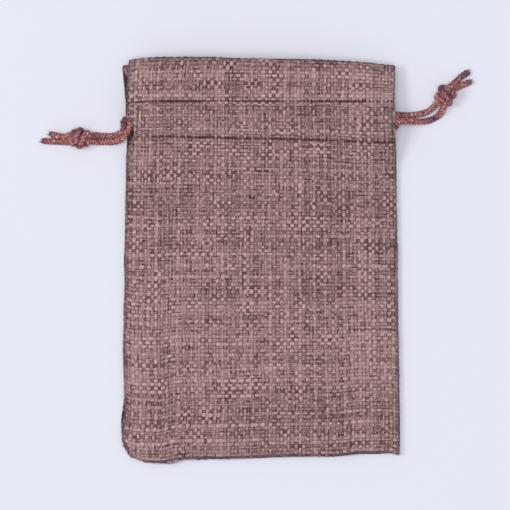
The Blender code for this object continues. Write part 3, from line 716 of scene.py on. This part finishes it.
def repeat_tube(tube, tubes, spacing):
    """Repeats the tube beside itself, each with the next strip of the map."""
    array = tube.modifiers.new("tubes", "ARRAY")
    array.count = tubes
    array.use_relative_offset = False
    array.use_constant_offset = True
    array.constant_offset_displace = (0.0, spacing, 0.0)
    array.offset_v = 1.0 / tubes
    bpy.context.view_layer.update()
    first, name = tube.data, tube.data.name
    tube.data = bpy.data.meshes.new_from_object(tube.evaluated_get(bpy.context.evaluated_depsgraph_get()))
    tube.modifiers.clear()
    bpy.data.meshes.remove(first)
    tube.data.name = name


def make_tubes(name, rings):
    """Closed tubes through rings of points, given as an array of tubes, rings, sides and coordinates. One
    tube is rolled up and repeated, and then every point is moved to its ring. Each tube gets a strip of the
    piece's map, with its first side at the strip's edge."""
    tubes, steps, sides = rings.shape[:3]
    spacing = 10.0
    tube = roll_tube(name, tubes, steps, sides)
    if tubes > 1:
        repeat_tube(tube, tubes, spacing)
    mesh = tube.data
    places = mesh_points(mesh)
    number = np.rint(places[:, 1] / spacing).astype(int)
    ring = np.rint(places[:, 0]).astype(int)
    angle = np.arctan2(places[:, 2], places[:, 1] - number * spacing)
    side = np.rint(angle / (2.0 * math.pi / sides)).astype(int) % sides
    mesh.vertices.foreach_set("co", rings[number, ring, side].astype(np.float32).ravel())
    bm = bmesh.new()
    bm.from_mesh(mesh)
    bmesh.ops.recalc_face_normals(bm, faces=bm.faces)
    bm.to_mesh(mesh)
    bm.free()
    mesh.shade_smooth()
    return tube


def oval_rings(centres, across, outward, widths, heights, sides):
    """Rings round centres, wider across the cloth than they are high. The first side faces inward."""
    angles = 2.0 * math.pi * np.arange(sides) / sides - math.pi / 2
    sideways = across[:, :, None] * (widths[:, :, None] / 2 * np.cos(angles))[..., None]
    upwards = outward[:, :, None] * (heights[:, :, None] / 2 * np.sin(angles))[..., None]
    return centres[:, :, None] + sideways + upwards


def round_rings(centres, across, outward, size, sides):
    return oval_rings(centres, across, outward, size, size, sides)


def smooth_random(random, rows, columns, step):
    """Random values along each row that change smoothly over a few steps."""
    knots = random.normal(size=(rows, columns // step + 3))
    place = np.arange(columns) / step
    i = place.astype(int)
    share = place - i
    share = share * share * (3.0 - 2.0 * share)
    return knots[:, i] * (1.0 - share) + knots[:, i + 1] * share


def varied(start, random, rows, columns, changes):
    """start with smooth random changes added, each given as how much and over how many steps."""
    for amount, step in changes:
        start = start + amount * smooth_random(random, rows, columns, step)
    return start


# The woven cloth

def spun_widths(random, yarns, rings, fullness):
    """Widths of hand-spun-looking yarn: each yarn has its own, with slubs and thin places along it."""
    own = np.exp(OWN_WIDTHS * random.normal(size=(yarns, 1)))
    slubs = varied(1.0, random, yarns, rings, SLUBS)
    return np.clip(YARN_WIDTH * own * slubs * fullness, *WIDTH_LIMITS)


def uneven_lie(random, yarns, rings):
    """How far each yarn lies to the side of its even place, along its length."""
    lie = YARN_OFFSET * random.normal(size=(yarns, 1))
    return np.clip(varied(lie, random, yarns, rings, BENDS), -LIE_LIMIT, LIE_LIMIT)


def bloom_patches(points):
    return np.array([
        [1.0 + BLOOM * noise.noise(Vector((x / BLOOM_SIZE, y / BLOOM_SIZE, 12.0))) for x, y, _ in row]
        for row in points
    ])


def weave(name, cloth, random, node):
    """The panel's yarns: an object for the warp, which runs along the panel, and one for the weft."""
    surface = cloth.read(cloth.weft_places())
    rows, columns = surface[0].shape[:2]
    over = np.where((np.arange(rows)[:, None] + np.arange(columns)[None]) % 2 == 0, 1.0, -1.0)
    swing = over * CRIMP * (1.0 + CRIMP_SPREAD * random.normal(size=(rows, columns)))
    bloom = bloom_patches(surface[0])
    warp = lay_warp(name + "_warp", cloth, surface, swing, bloom * (1.0 + OVER_FULLNESS * over), random)
    weft = lay_weft(name + "_weft", surface, swing, bloom * (1.0 - OVER_FULLNESS * over), random)
    spun = (
        yarn_material(name + "_warp", columns - 2, rows + 1, cloth.length, WARP_SEED, WEFT_SEED, PATCHES),
        yarn_material(name + "_weft", rows, columns + 1, CUT_WIDTH, WEFT_SEED, WARP_SEED, -PATCHES),
    )
    for yarns, material in zip((warp, weft), spun):
        mark_distances(yarns, cloth.panel)
        dress(yarns, material, node)
    return warp, weft


def lay_warp(name, cloth, surface, swing, fullness, random):
    """The yarns along the panel, in all columns but the two at its edges. Two more rings turn each into the
    bottom seam."""
    inner = slice(1, len(cloth.shares) - 1)
    points, across, _, outward = (part[:, inner] for part in surface)
    start = cloth.read(np.array([WARP_START]))
    edge, edge_across, edge_along, edge_outward = (part[:, inner] for part in start)
    rows, yarns = points.shape[:2]
    centres = points + outward * swing[:, inner, None]
    centres = centres + across * uneven_lie(random, yarns, rows).T[:, :, None]
    tucked = edge - edge_outward * ROLL_DOWN + edge_along * ROLL_IN
    centres = np.concatenate([tucked, edge - edge_outward * EDGE_DROP, centres]).transpose(1, 0, 2)
    sideways = np.concatenate([edge_across, edge_across, across]).transpose(1, 0, 2)
    upwards = np.concatenate([edge_outward, edge_outward, outward]).transpose(1, 0, 2)
    fullness = np.concatenate([np.ones((2, yarns)), fullness[:, inner]]).T
    return make_yarns(name, centres, sideways, upwards, spun_widths(random, yarns, rows + 2, fullness))


def lay_weft(name, surface, swing, fullness, random):
    """The yarns across the panel. One more ring at each end turns them into the side seams."""
    points, across, along, outward = surface
    rows, columns = points.shape[:2]
    ends = [0, -1]
    inward = across[:, ends] * np.array([1.0, -1.0])[None, :, None]
    centres = points - outward * swing[:, :, None]
    centres = centres + along * uneven_lie(random, rows, columns)[:, :, None]
    edge = centres[:, ends] - outward[:, ends] * EDGE_DROP
    centres[:, ends] = edge + inward * WEFT_INSET
    tucked = edge - outward[:, ends] * (ROLL_DOWN - EDGE_DROP) + inward * ROLL_IN
    centres = np.concatenate([tucked[:, :1], centres, tucked[:, 1:]], axis=1)
    one_more = ((0, 0), (1, 1), (0, 0))
    sideways, upwards = np.pad(along, one_more, mode="edge"), np.pad(outward, one_more, mode="edge")
    fullness = np.pad(fullness, one_more[:2], mode="edge")
    return make_yarns(name, centres, sideways, upwards, spun_widths(random, rows, columns + 2, fullness))


def make_yarns(name, centres, sideways, upwards, widths):
    heights = YARN_HEIGHT * (EVEN_HEIGHT + WIDTH_HEIGHT * widths / YARN_WIDTH)
    rings = oval_rings(centres, sideways, upwards, widths, heights, YARN_SIDES)
    rings[..., 2] = np.maximum(rings[..., 2], LOWEST_YARN)
    return make_tubes(name, rings)


def mark_distances(piece, panel):
    """Gives every point of a piece its distance from the panel's cut edges, its fold and its two seams."""
    x, y = mesh_points(piece.data).T[:2]
    rows = np.linspace(-0.072, 0.072, 480)
    columns = np.linspace(-HALF_WIDTH, HALF_WIDTH, 320)

    def side_x(line):
        return np.interp(y, rows, [line(row) for row in rows])

    def end_y(line):
        return np.interp(x, columns, [line(column) for column in columns])

    from_sides = np.minimum(x - side_x(panel.left), side_x(panel.right) - x)
    distances = {
        "from_edge": np.minimum(from_sides, y - end_y(panel.bottom)),
        "from_fold": end_y(panel.top_of) - y,
        "from_lower_seam": y - end_y(panel.lower),
        "from_upper_seam": y - end_y(panel.upper),
    }
    for name, values in distances.items():
        attribute = piece.data.attributes.new(name, "FLOAT", "POINT")
        attribute.data.foreach_set("value", values.astype(np.float32))


def make_ground(name, cloth, node, material):
    """The thin ground sheet under the yarns, over the panel's whole cut, hem included. Where its colour is
    dark, it is painted shade in the gaps between the yarns.
    """
    places = np.linspace(GROUND_INSET, cloth.length - GROUND_INSET, GROUND_ROWS)
    points, across = cloth.read(places)[:2]
    points = points[:, ::2].copy()
    points[:, 0] += across[:, 0] * GROUND_INSET
    points[:, -1] -= across[:, -1] * GROUND_INSET
    points[..., 2] = np.maximum(points[..., 2], GROUND)
    rows, columns = points.shape[:2]
    bm = bmesh.new()
    bm.loops.layers.uv.new("OFBake")
    bmesh.ops.create_grid(bm, x_segments=columns - 1, y_segments=rows - 1, size=1.0, calc_uvs=True)
    for vert in bm.verts:
        column = round((vert.co.x + 1.0) / 2.0 * (columns - 1))
        row = round((vert.co.y + 1.0) / 2.0 * (rows - 1))
        vert.co = Vector(points[row, column])
    ground = finish_mesh(name, bm)
    solid = ground.modifiers.new("ground", "SOLIDIFY")
    solid.thickness = GROUND
    solid.offset = 0.0
    return dress(ground, material, node)


def make_stitches(name, cloth, seam, rise, node, material):
    """A row of machine stitches across the panel, each sunk into the cloth at its ends."""
    points, _, along, outward = (part[0] for part in cloth.read(np.array([seam])))
    run = np.concatenate([[0.0], np.cumsum(np.linalg.norm(np.diff(points, axis=0), axis=1))])
    starts = np.arange(STITCH_MARGIN, run[-1] - STITCH_MARGIN - STITCH_LENGTH, STITCH_LENGTH)
    share = np.linspace(0.0, 1.0, STITCH_RINGS)
    places = starts[:, None] + STITCH_GAP / 2 + share[None] * (STITCH_LENGTH - STITCH_GAP)

    def at(values):
        return np.stack([np.interp(places, run, values[:, axis]) for axis in range(3)], axis=-1)

    lift = rise - STITCH_SINK * (1.0 - np.sin(math.pi * share) ** 0.5)
    centres = at(points) + at(outward) * lift[None, :, None]
    rings = round_rings(centres, at(along), at(outward), np.full(places.shape, THREAD_DIAMETER), THREAD_SIDES)
    return dress(make_tubes(name, rings), material, node)


def make_bar_stitch(name, cloth, node, material):
    """Two short lengths of thread, side by side, that hold the channel's turned-in edge at the left."""
    places = np.linspace(cloth.lower_seam + BAR_START, cloth.lower_seam + BAR_END, BAR_RINGS)
    surface = cloth.read(places)
    column = np.argmin(abs(surface[0][BAR_RINGS // 2, :, 0] - BAR_X))
    points, across, _, outward = (part[:, column] for part in surface)
    points[:, 0] = BAR_X
    lift = BAR_RISE[0] + BAR_RISE[1] * np.sin(math.pi * np.linspace(0.0, 1.0, BAR_RINGS))[:, None] ** 0.4
    sides = np.array([-BAR_ASIDE, BAR_ASIDE])[:, None, None]
    centres = points + across * sides + outward * lift
    size = np.full((2, BAR_RINGS), THREAD_DIAMETER)
    rings = round_rings(centres, across[None], outward[None], size, THREAD_SIDES)
    return dress(make_tubes(name, rings), material, node)


# The cords

def knot_points(knot, first_turn):
    """The way of one strand through a knot, from where it enters to where its tail leaves."""
    run = np.array([math.cos(knot.run), math.sin(knot.run), 0.0])
    across = np.array([-math.sin(knot.run), math.cos(knot.run), 0.0])
    points = []
    for step in KNOT_STEPS:
        angle = math.radians(first_turn + step.turn)
        point = np.array([knot.x, knot.y, knot.z]) + run * knot.along * step.along
        point = point + across * (knot.across * step.out * math.cos(angle))
        points.append(point + np.array([0.0, 0.0, knot.up * step.out * math.sin(angle)]))
    return points


def cord_line(route, knot, tails):
    """Points from the tip of the first tail along the whole cord to the tip of the second."""
    first = knot_points(knot, knot.first_turn) + [np.array(point) for point in tails[0]]
    last = knot_points(knot, knot.first_turn + 180) + [np.array(point) for point in tails[1]]
    return np.array(first[::-1] + [np.array(point) for point in route] + last)


def smooth_line(marks, step):
    """A smooth curve through marks, as points an even step apart, and its length."""
    marks = np.concatenate([[2 * marks[0] - marks[1]], marks, [2 * marks[-1] - marks[-2]]])
    points = []
    t = np.linspace(0.0, 1.0, LINE_STEPS, endpoint=False)[:, None]
    for before, start, end, after in zip(marks, marks[1:], marks[2:], marks[3:]):
        length = np.linalg.norm(end - start)
        leave = (end - before) / (np.linalg.norm(start - before) + length) * length
        arrive = (after - start) / (length + np.linalg.norm(after - end)) * length
        points.append(curve(start, end, leave, arrive, t))
    points = np.concatenate(points + [marks[-2][None]])
    run = np.concatenate([[0.0], np.cumsum(np.linalg.norm(np.diff(points, axis=0), axis=1))])
    even = np.linspace(0.0, run[-1], round(run[-1] / step) + 1)
    return np.stack([np.interp(even, run, points[:, axis]) for axis in range(3)], axis=-1), run[-1]


def carried_frames(points):
    """Two directions across a line at each point, carried along it without twist."""
    along = unit(np.gradient(points, axis=0))
    side = np.cross(along[0], [0.0, 0.0, 1.0])
    sides = []
    for direction in along:
        side = side - direction * np.dot(side, direction)
        side = side / np.linalg.norm(side)
        sides.append(side)
    sides = np.array(sides)
    return sides, np.cross(along, sides)


def laid_radius(places, angles, random):
    """The cord's radius at each place and angle: its plies, turned along it and tapered at its tips."""
    turned = angles[None] - (2.0 * math.pi * places / LAY_LENGTH)[:, None]
    from_ply = (turned + math.pi / PLIES) % (2.0 * math.pi / PLIES) - math.pi / PLIES
    ply = PLY_OFFSET * np.cos(from_ply) + np.sqrt(PLY_RADIUS ** 2 - (PLY_OFFSET * np.sin(from_ply)) ** 2)
    end = np.minimum(places, places[-1] - places)
    taper = TIP_SHARE + (1.0 - TIP_SHARE) * np.sqrt(np.clip(end / TAPER_LENGTH, 0.0, 1.0))
    spun = varied(1.0, random, 1, len(places), (CORD_SLUBS,))[0]
    return CORD_FULLNESS * CORD_DIAMETER / 2 * ply * (taper * spun)[:, None]


def make_cord(name, route, knot, tails, node, dusky_spots, tip_material, random):
    points, run = smooth_line(cord_line(route, knot, tails), CORD_STEP)
    sides, ups = carried_frames(points)
    places = np.arange(len(points)) * CORD_STEP
    angles = 2.0 * math.pi * np.arange(CORD_SIDES) / CORD_SIDES
    radius = laid_radius(places, angles, random)
    rings = points[:, None] + sides[:, None] * (radius * np.cos(angles))[..., None]
    rings = rings + ups[:, None] * (radius * np.sin(angles))[..., None]
    rings[:, :, 2] = np.maximum(rings[:, :, 2], LOWEST_FIBRE)
    cord = make_tubes(name, rings[None])
    dusky_places = [
        (np.argmin(np.linalg.norm(points - np.array(spot), axis=1)) * CORD_STEP, reach)
        for *spot, reach in dusky_spots
    ]
    dress(cord, cord_material(name, run, dusky_places), node)
    hairs = make_tip_hairs(name + "_tips", points, sides, ups, random)
    dress(hairs, tip_material, node)
    print(f"{name} is {run:.4f} m long")


def make_tip_hairs(name, points, sides, ups, random):
    """Loose fibres that stand out of the cut ends of the cord."""
    share = np.linspace(0.0, 1.0, HAIR_POINTS)[:, None]
    size = HAIR_THICKNESS * (1.0 - HAIR_THINNING * share[:, 0])[None]
    rings = []
    for tip, inner in ((0, TIP_DEPTH), (-1, -1 - TIP_DEPTH)):
        outward = unit(points[tip] - points[inner])
        around = np.repeat(unit(np.cross(outward, [0.0, 0.0, 1.0]))[None], HAIR_POINTS, axis=0)
        for _ in range(TIP_HAIRS):
            angle = random.uniform(0.0, 2.0 * math.pi)
            out = sides[tip] * math.cos(angle) + ups[tip] * math.sin(angle)
            start = points[tip] - outward * HAIR_ROOT + out * random.uniform(*HAIR_OUT)
            length = HAIR_LENGTH * random.uniform(*HAIR_LENGTHS)
            bend = np.array([*random.normal(size=2), HAIR_LIFT * random.normal()]) * HAIR_BEND
            line = start + outward * length * share + out * random.uniform(0.0, HAIR_SPREAD) * share
            line = line + bend * share ** 2
            up = np.cross(outward, around)
            rings.append(round_rings(line[None], around[None], up[None], size, HAIR_SIDES))
    rings = np.concatenate(rings)
    rings[..., 2] = np.maximum(rings[..., 2], LOWEST_FIBRE)
    return make_tubes(name, rings)


# Materials

def shader_maths(operation, swapped=False):
    def apply(self, other=0.0):
        first, second = (other, self) if swapped else (self, other)
        return self.finish.function(operation, first, second)

    return apply


class Value:
    """A value in a shader, so that sums and products of values are written as plain arithmetic."""

    def __init__(self, finish, socket):
        self.finish = finish
        self.socket = socket

    __add__ = shader_maths("ADD")
    __radd__ = shader_maths("ADD", swapped=True)
    __sub__ = shader_maths("SUBTRACT")
    __rsub__ = shader_maths("SUBTRACT", swapped=True)
    __mul__ = shader_maths("MULTIPLY")
    __rmul__ = shader_maths("MULTIPLY", swapped=True)
    __abs__ = shader_maths("ABSOLUTE")


class Finish:
    """A material with its Principled shader."""

    def __init__(self, name, roughness, sheen=0.0):
        self.material = bpy.data.materials.new(name)
        self.material.use_nodes = True
        self.tree = self.material.node_tree
        self.shader = self.tree.nodes["Principled BSDF"]
        constants = {
            "Roughness": roughness, "Sheen Weight": sheen, "Sheen Roughness": 0.5, "Specular IOR Level": 0.25,
        }
        for name_of_socket, value in constants.items():
            self.shader.inputs[name_of_socket].default_value = value

    def node(self, kind, settings=None, inputs=None, output=0):
        """A new node with its settings and what goes into it, as the value that comes out of it."""
        node = self.tree.nodes.new(kind)
        for key, value in (settings or {}).items():
            setattr(node, key, value)
        for key, value in (inputs or {}).items():
            if isinstance(value, Value):
                self.tree.links.new(value.socket, node.inputs[key])
            else:
                node.inputs[key].default_value = value
        return Value(self, node.outputs[output])

    def function(self, operation, value, other=0.0):
        return self.node("ShaderNodeMath", {"operation": operation}, {0: value, 1: other})

    def x_and_y(self, vector):
        outputs = self.node("ShaderNodeSeparateXYZ", None, {0: vector}).socket.node.outputs
        return Value(self, outputs[0]), Value(self, outputs[1])

    def mapped(self):
        """The piece's map: its share along the tubes, and its share of the strips of all of them."""
        return self.x_and_y(self.node("ShaderNodeUVMap", {"uv_map": "OFBake"}))

    def place(self):
        """The point's place in the object's frame."""
        return self.node("ShaderNodeTexCoord", output=3)

    def attribute(self, name):
        return self.node("ShaderNodeAttribute", {"attribute_name": name}, output=2)

    def above(self, value):
        return self.function("MAXIMUM", value, 0.0)

    def share(self, value):
        """The value held between 0 and 1."""
        return self.node("ShaderNodeClamp", None, {0: value})

    def fading(self, distance, rate, level=1.0):
        """The level at no distance, less by the rate for each metre, down to 0."""
        return self.above(level - distance * rate)

    def noise(self, place, scale, detail=2.0):
        settings = {"noise_dimensions": "3D"}
        return self.node("ShaderNodeTexNoise", settings, {"Vector": place, "Scale": scale, "Detail": detail})

    def grain(self, x, y, z=0.0, detail=1.0):
        """Noise with patches of about 1 at the place x, y, z."""
        return self.noise(self.node("ShaderNodeCombineXYZ", None, {0: x, 1: y, 2: z}), 1.0, detail)

    def mixed(self, factor, first, second):
        return self.node("ShaderNodeMix", {"data_type": "RGBA"}, {0: factor, 6: first, 7: second}, 2)

    def color(self, value):
        self.tree.links.new(value.socket, self.shader.inputs["Base Color"])

    def bump(self, height, distance, strength):
        inputs = {"Height": height, "Distance": distance, "Strength": strength}
        self.tree.links.new(self.node("ShaderNodeBump", None, inputs).socket, self.shader.inputs["Normal"])


def yarn_material(name, yarns, spans, length, seed, crossing_seed, patches):
    """Spun fibre: each yarn has its own shade, which drifts along it, with fine fibres and light neps. In
    patches either the warp or the weft is the lighter. Painted shade darkens the yarns' flanks, thin lines in
    some gaps between them, the cut edges, marks along the fold, the two seams and both sides of the bar
    stitch.
    The odd factors in a noise's place set the yarns apart."""
    finish = Finish(name, ROUGHNESS)
    along, index = finish.mapped()
    index = index * float(yarns)
    yarn = finish.function("FLOOR", index)
    around = index - yarn
    metres = along * length
    own = finish.node("ShaderNodeTexWhiteNoise", {"noise_dimensions": "1D"}, {"W": yarn + seed})
    drift = finish.grain(metres * DRIFT_RATE, yarn * 7.3 + seed, detail=3.0)
    fleck = finish.grain(metres * FLECK_RATE, yarn * 5.1 + around * 2.0, detail=2.0)
    fibre = finish.grain(metres * FIBRE_RATE + around * 4.0, around * 8.0 + yarn * 3.7, detail=2.0)
    shade = (own - 0.5) * OWN_SHADES + (drift - 0.5) * DRIFT + (fleck - 0.5) * FLECKS
    shade = shade + (fibre - 0.5) * FIBRES + MEAN_SHADE
    crown = 1.0 - abs(around - 0.5) * 2.0
    # painted shade: darker flanks and lighter crowns
    shade = shade + (crown - CROWN_LEVEL) * PAINTED_FLANK_SHADE
    # painted shade in some gaps between the yarns
    shade = shade - gap_shade_lines(finish, yarn, around, along * float(spans), crown, seed, crossing_seed) * GAP_SHADE_LINES
    nep = finish.grain(metres * NEP_RATE, yarn * 9.7 + seed, 3.0)
    shade = shade + finish.above(nep - NEP_LEVEL) * NEPS

    x, y = finish.x_and_y(finish.place())
    patch = finish.grain(x * PATCH_RATE, y * PATCH_RATE, 2.0)
    slow = finish.grain(x * SLOW_RATE, y * SLOW_RATE, 6.0)
    hem = finish.share((y - HEM_START) * HEM_EDGE)
    shade = shade + (patch - 0.5) * patches + (slow - 0.5) * SLOW_SHADES + hem * HEM_LIGHTER
    tone = finish.grain(x * TONE_RATE, y * TONE_RATE, 5.0)
    # painted shade in the seams' furrows and beside the bar stitch
    shade = finish.share(shade - seam_painted_shade(finish, x, tone) - bar_painted_shade(finish, x, y))
    marks = finish.grain(x * MARK_RATE, y * MARK_RATE + seed, 8.0)
    # painted shade in marks along the fold
    fold = finish.fading(finish.attribute("from_fold"), FOLD_FADE, FOLD_LEVEL)
    fold = fold * finish.above(marks * FOLD_SHADE_MARKS - FOLD_MARK_LEVEL)
    # painted shade on the cut edges and along the fold
    edge_shade_cover = finish.share(edge_painted_shade(finish, x, y, crown, tone, marks) + fold) * EDGE_SHADE_COVER
    finish.color(finish.mixed(edge_shade_cover, finish.mixed(shade, YARN_DARK, YARN_LIGHT), RIM_SHADE_COLOR))
    twist = finish.function("SINE", metres * TWIST_RATE + around * 12.566)
    finish.bump(fibre * 0.7 + twist * 0.22 + fleck * 0.3, 0.00012, 0.7)
    return finish.material


def gap_shade_lines(finish, yarn, around, ring, crown, seed, crossing_seed):
    """Painted shade: thin dark lines in the gaps between some yarns, which go on over the yarns that cross
    them. A yarn shows the line of the gap beside it, and that of the nearest gap that it crosses."""
    gap = yarn + finish.function("LESS_THAN", around, 0.5)
    beside = finish.grain(ring * LINE_RUN, gap * 7.7 + seed, 31.0)
    beside = finish.share((beside - LINE_LEVEL) * LINE_EDGE) * finish.share((SIDE_LEVEL - crown) * SIDE_EDGE)
    span = ring - 1.5
    crossed = finish.function("ROUND", span)
    across = finish.grain((yarn + 2.0) * LINE_RUN, crossed * 7.7 + crossing_seed, 31.0)
    across = finish.share((across - LINE_LEVEL) * LINE_EDGE)
    return beside + across * finish.share((CROSS_WIDTH - abs(span - crossed)) * CROSS_EDGE)


def seam_painted_shade(finish, x, tone):
    """Painted shade in the two seams' furrows: how far the cloth is darkened there, most of all in one
    stretch of the upper one.
    """
    lower = finish.fading(abs(finish.attribute("from_lower_seam")), SEAM_FADE)
    lower = lower * finish.above(tone * SEAM_TONE - LOWER_LEVEL)
    upper = finish.fading(abs(finish.attribute("from_upper_seam")), SEAM_FADE)
    stretch = finish.fading(abs(x - DARK_SEAM_X), DARK_SEAM_FADE)
    upper = upper * (finish.above(tone * SEAM_TONE - UPPER_LEVEL) + stretch)
    return lower * LOWER_SEAM_SHADE + upper * UPPER_SEAM_SHADE


def bar_painted_shade(finish, x, y):
    """Painted shade where the cloth is pressed in at both sides of the bar stitch: how far it is darkened
    there, less at the right.
    """
    left = finish.fading(abs(x - (BAR_X - BAR_SHADE)), BAR_SHADE_FADE)
    right = finish.fading(abs(x - (BAR_X + BAR_SHADE)), BAR_SHADE_FADE)
    level = finish.share(finish.fading(abs(y - BAR_Y), BAR_LENGTH_FADE) * BAR_LENGTH_EDGE)
    return (left + right * BAR_RIGHT_SHARE) * level * BAR_PAINTED_SHADE


def edge_painted_shade(finish, x, y, crown, tone, marks):
    """How far the cut edges, where the cloth turns in, are covered by a rim of painted shade, on the upper
    side of the yarns.
    """
    edge = finish.attribute("from_edge")
    rim = finish.fading(edge, RIM_FADE, RIM_LEVEL) * (tone * RIM_TONE - RIM_TONE_LEVEL)
    rim = rim * finish.share(edge * RIM_EDGE + RIM_START) * finish.share(crown * RIM_CROWN - RIM_CROWN_LEVEL)
    at_bottom = finish.share((BOTTOM_START - y) * BOTTOM_EDGE)
    for middle, reach, depth in DEEP_RIM_SHADE_STRETCHES:
        stretch = finish.share((reach - abs(x - middle)) * STRETCH_EDGE) * at_bottom
        uneven = marks * UNEVEN_DEPTH - UNEVEN_DEPTH / 2 + depth
        rim = rim + stretch * finish.share((uneven - edge) * RIM_EDGE)
    return rim


# The ground sheet's dark colour is painted shade in the gaps between the yarns; its lighter mottle is the
# cloth where the yarns close up
def ground_material():
    finish = Finish("gap_shade_ground", 0.95)
    mottle = finish.noise(finish.place(), GROUND_RATE)
    finish.color(finish.mixed(finish.share((mottle - 0.5) * GROUND_EDGE + 0.5), GROUND_PAINTED_SHADE, GROUND_LIGHT))
    finish.bump(mottle, 0.0001, 0.5)
    return finish.material


def cord_material(name, length, dusky_places):
    """Three plies laid up together, with painted shade that leaves them darker in their grooves and lighter
    on their crowns, fine fibres and light specks; dusky in stretches and at the tips."""
    finish = Finish(name, 0.9)
    along, around = finish.mapped()
    metres = along * length
    ply = around * float(PLIES) - metres * (PLIES / LAY_LENGTH)
    crown = abs(finish.function("FRACT", ply) - 0.5) * 2.0
    fibre = finish.grain(metres * CORD_FIBRE_RATE, around * 14.0, detail=2.0)
    patch = finish.grain(metres * CORD_FIBRE_RATE, around * 4.0, 4.0, 2.0)
    # painted shade between the plies
    shade = crown * PLY_GROOVE_SHADE + (fibre - 0.5) * CORD_FIBRES + (patch - 0.5) * CORD_PATCHES
    shade = finish.share(shade + CORD_MEAN)
    stretch = finish.grain(metres * DUSK_RATE, around * 1.2, 9.0)
    from_tip = finish.function("MINIMUM", metres, length - metres)
    dusk = (stretch - 0.5) * DUSK + DUSK_MEAN + finish.fading(from_tip, TIP_FADE) * TIP_DUSK
    for place, reach in dusky_places:
        dusk = dusk + finish.fading(abs(metres - place), 1.0 / reach) * SPOT_DUSK
    dusk = finish.share(dusk)
    rose = finish.grain(metres * ROSE_RATE, around * 0.6, 15.0)
    rose = finish.share((rose - 0.5) * ROSE_EDGE + ROSE_MEAN)
    warm = finish.mixed(shade, CORD_DARK, finish.mixed(rose, CORD_BROWN, CORD_ROSE))
    dusky = finish.mixed(shade, CORD_DUSK_DARK, CORD_DUSK_LIGHT)
    speck = finish.grain(metres * SPECK_RATE, around * 6.0, 7.0)
    speck = finish.share(finish.above(speck - SPECK_LEVEL) * SPECKS * (1.0 - dusk))
    finish.color(finish.mixed(speck, finish.mixed(dusk, warm, dusky), CORD_SPECK))
    finish.bump(fibre, 0.0001, 0.6)
    return finish.material


def hair_material():
    finish = Finish("cord_fibre", 0.85, sheen=0.15)
    finish.color(finish.mixed(finish.noise(finish.place(), TIP_FIBRE_RATE), CORD_DUSK_DARK, CORD_DUSK_LIGHT))
    return finish.material


def thread_material(name, dark, light, darker_share):
    finish = Finish(name, 0.8)
    mottle = finish.noise(finish.place(), THREAD_RATE)
    finish.color(finish.mixed((mottle - darker_share) * THREAD_EDGE, dark, light))
    finish.bump(mottle, 0.00005, 0.5)
    return finish.material


def floor_material():
    finish = Finish("floor_card", 0.9)
    darker = tuple(FLOOR_DARKER * part for part in FLOOR_COLOR[:3]) + (1.0,)
    finish.color(finish.mixed(finish.noise(finish.place(), 6.0, 1.0), darker, FLOOR_COLOR))
    return finish.material


# The studio

def make_floor():
    bm = bmesh.new()
    bmesh.ops.create_grid(bm, x_segments=FLOOR_STEPS, y_segments=FLOOR_STEPS, size=FLOOR_SIZE)
    floor = finish_mesh("floor", bm, smooth=False)
    floor.data.materials.append(floor_material())


def make_camera():
    lens = bpy.data.cameras.new("camera")
    lens.sensor_width = SENSOR_MM
    lens.lens = SENSOR_MM * (CAMERA_HEIGHT - CAMERA_PLANE) / PICTURE_WIDTH
    lens.clip_start = NEAREST
    camera = bpy.data.objects.new("camera", lens)
    camera.location = (CAMERA_X, CAMERA_Y, CAMERA_HEIGHT)
    bpy.context.scene.collection.objects.link(camera)
    bpy.context.scene.camera = camera


def make_light(row):
    lamp = bpy.data.lights.new(row.name, "AREA")
    lamp.shape = "DISK"
    lamp.size = row.size
    lamp.energy = row.power
    lamp.color = row.color
    light = bpy.data.objects.new(row.name, lamp)
    light.location = row.place
    light.rotation_euler = (-Vector(row.place)).to_track_quat("-Z", "Y").to_euler()
    bpy.context.scene.collection.objects.link(light)


def make_sky():
    world = bpy.data.worlds.new("studio")
    world.use_nodes = True
    background = world.node_tree.nodes["Background"]
    background.inputs[0].default_value = SKY_COLOR
    background.inputs[1].default_value = SKY_STRENGTH
    bpy.context.scene.world = world
    bpy.context.scene.view_settings.view_transform = "Standard"


# The pouch

def make_panels():
    random = np.random.default_rng(20)
    shares = [0.0] + [(column + 0.5) / WARP_YARNS for column in range(WARP_YARNS)] + [1.0]
    front = Panel(FRONT_SIDES, FRONT_ROWS, 1, True, front_top, (FRONT_HEM_LEFT_INSET, HEM_INSET))
    back = Panel(BACK_SIDES, back_rows(), -1, False, back_top, (BACK_HEM_LEFT_INSET, HEM_INSET))
    fibre = ground_material()
    thread = thread_material("seam_thread", THREAD_DARK, THREAD_LIGHT, SEAM_THREAD_LEVEL)
    for name, panel in (("front_panel", front), ("back_panel", back)):
        cloth = Cloth(panel, shares)
        ground = make_ground(name + "_ground", cloth, name, fibre)
        yarns = weave(name, cloth, random, name)
        sewing = [
            make_stitches(name + "_lower_stitches", cloth, cloth.lower_seam, LOWER_RISE, name, thread),
            make_stitches(name + "_upper_stitches", cloth, cloth.upper_seam, UPPER_RISE, name, thread),
        ]
        if panel is front:
            bar_thread = thread_material("bar_thread", BAR_THREAD_DARK, BAR_THREAD_LIGHT, BAR_THREAD_LEVEL)
            sewing.append(make_bar_stitch("channel_bar_stitch", cloth, name, bar_thread))


def make_cords():
    random = np.random.default_rng(31)
    tips = hair_material()
    make_cord(
        "left_drawcord", LEFT_CORD_ROUTE, LEFT_KNOT, LEFT_TAILS, "drawcord_left",
        LEFT_DUSKY_SPOTS, tips, random,
    )
    make_cord(
        "right_drawcord", RIGHT_CORD_ROUTE, RIGHT_KNOT, RIGHT_TAILS, "drawcord_right",
        RIGHT_DUSKY_SPOTS, tips, random,
    )


make_camera()
make_floor()
make_sky()
for light_row in LIGHTS:
    make_light(light_row)
make_cords()
make_panels()
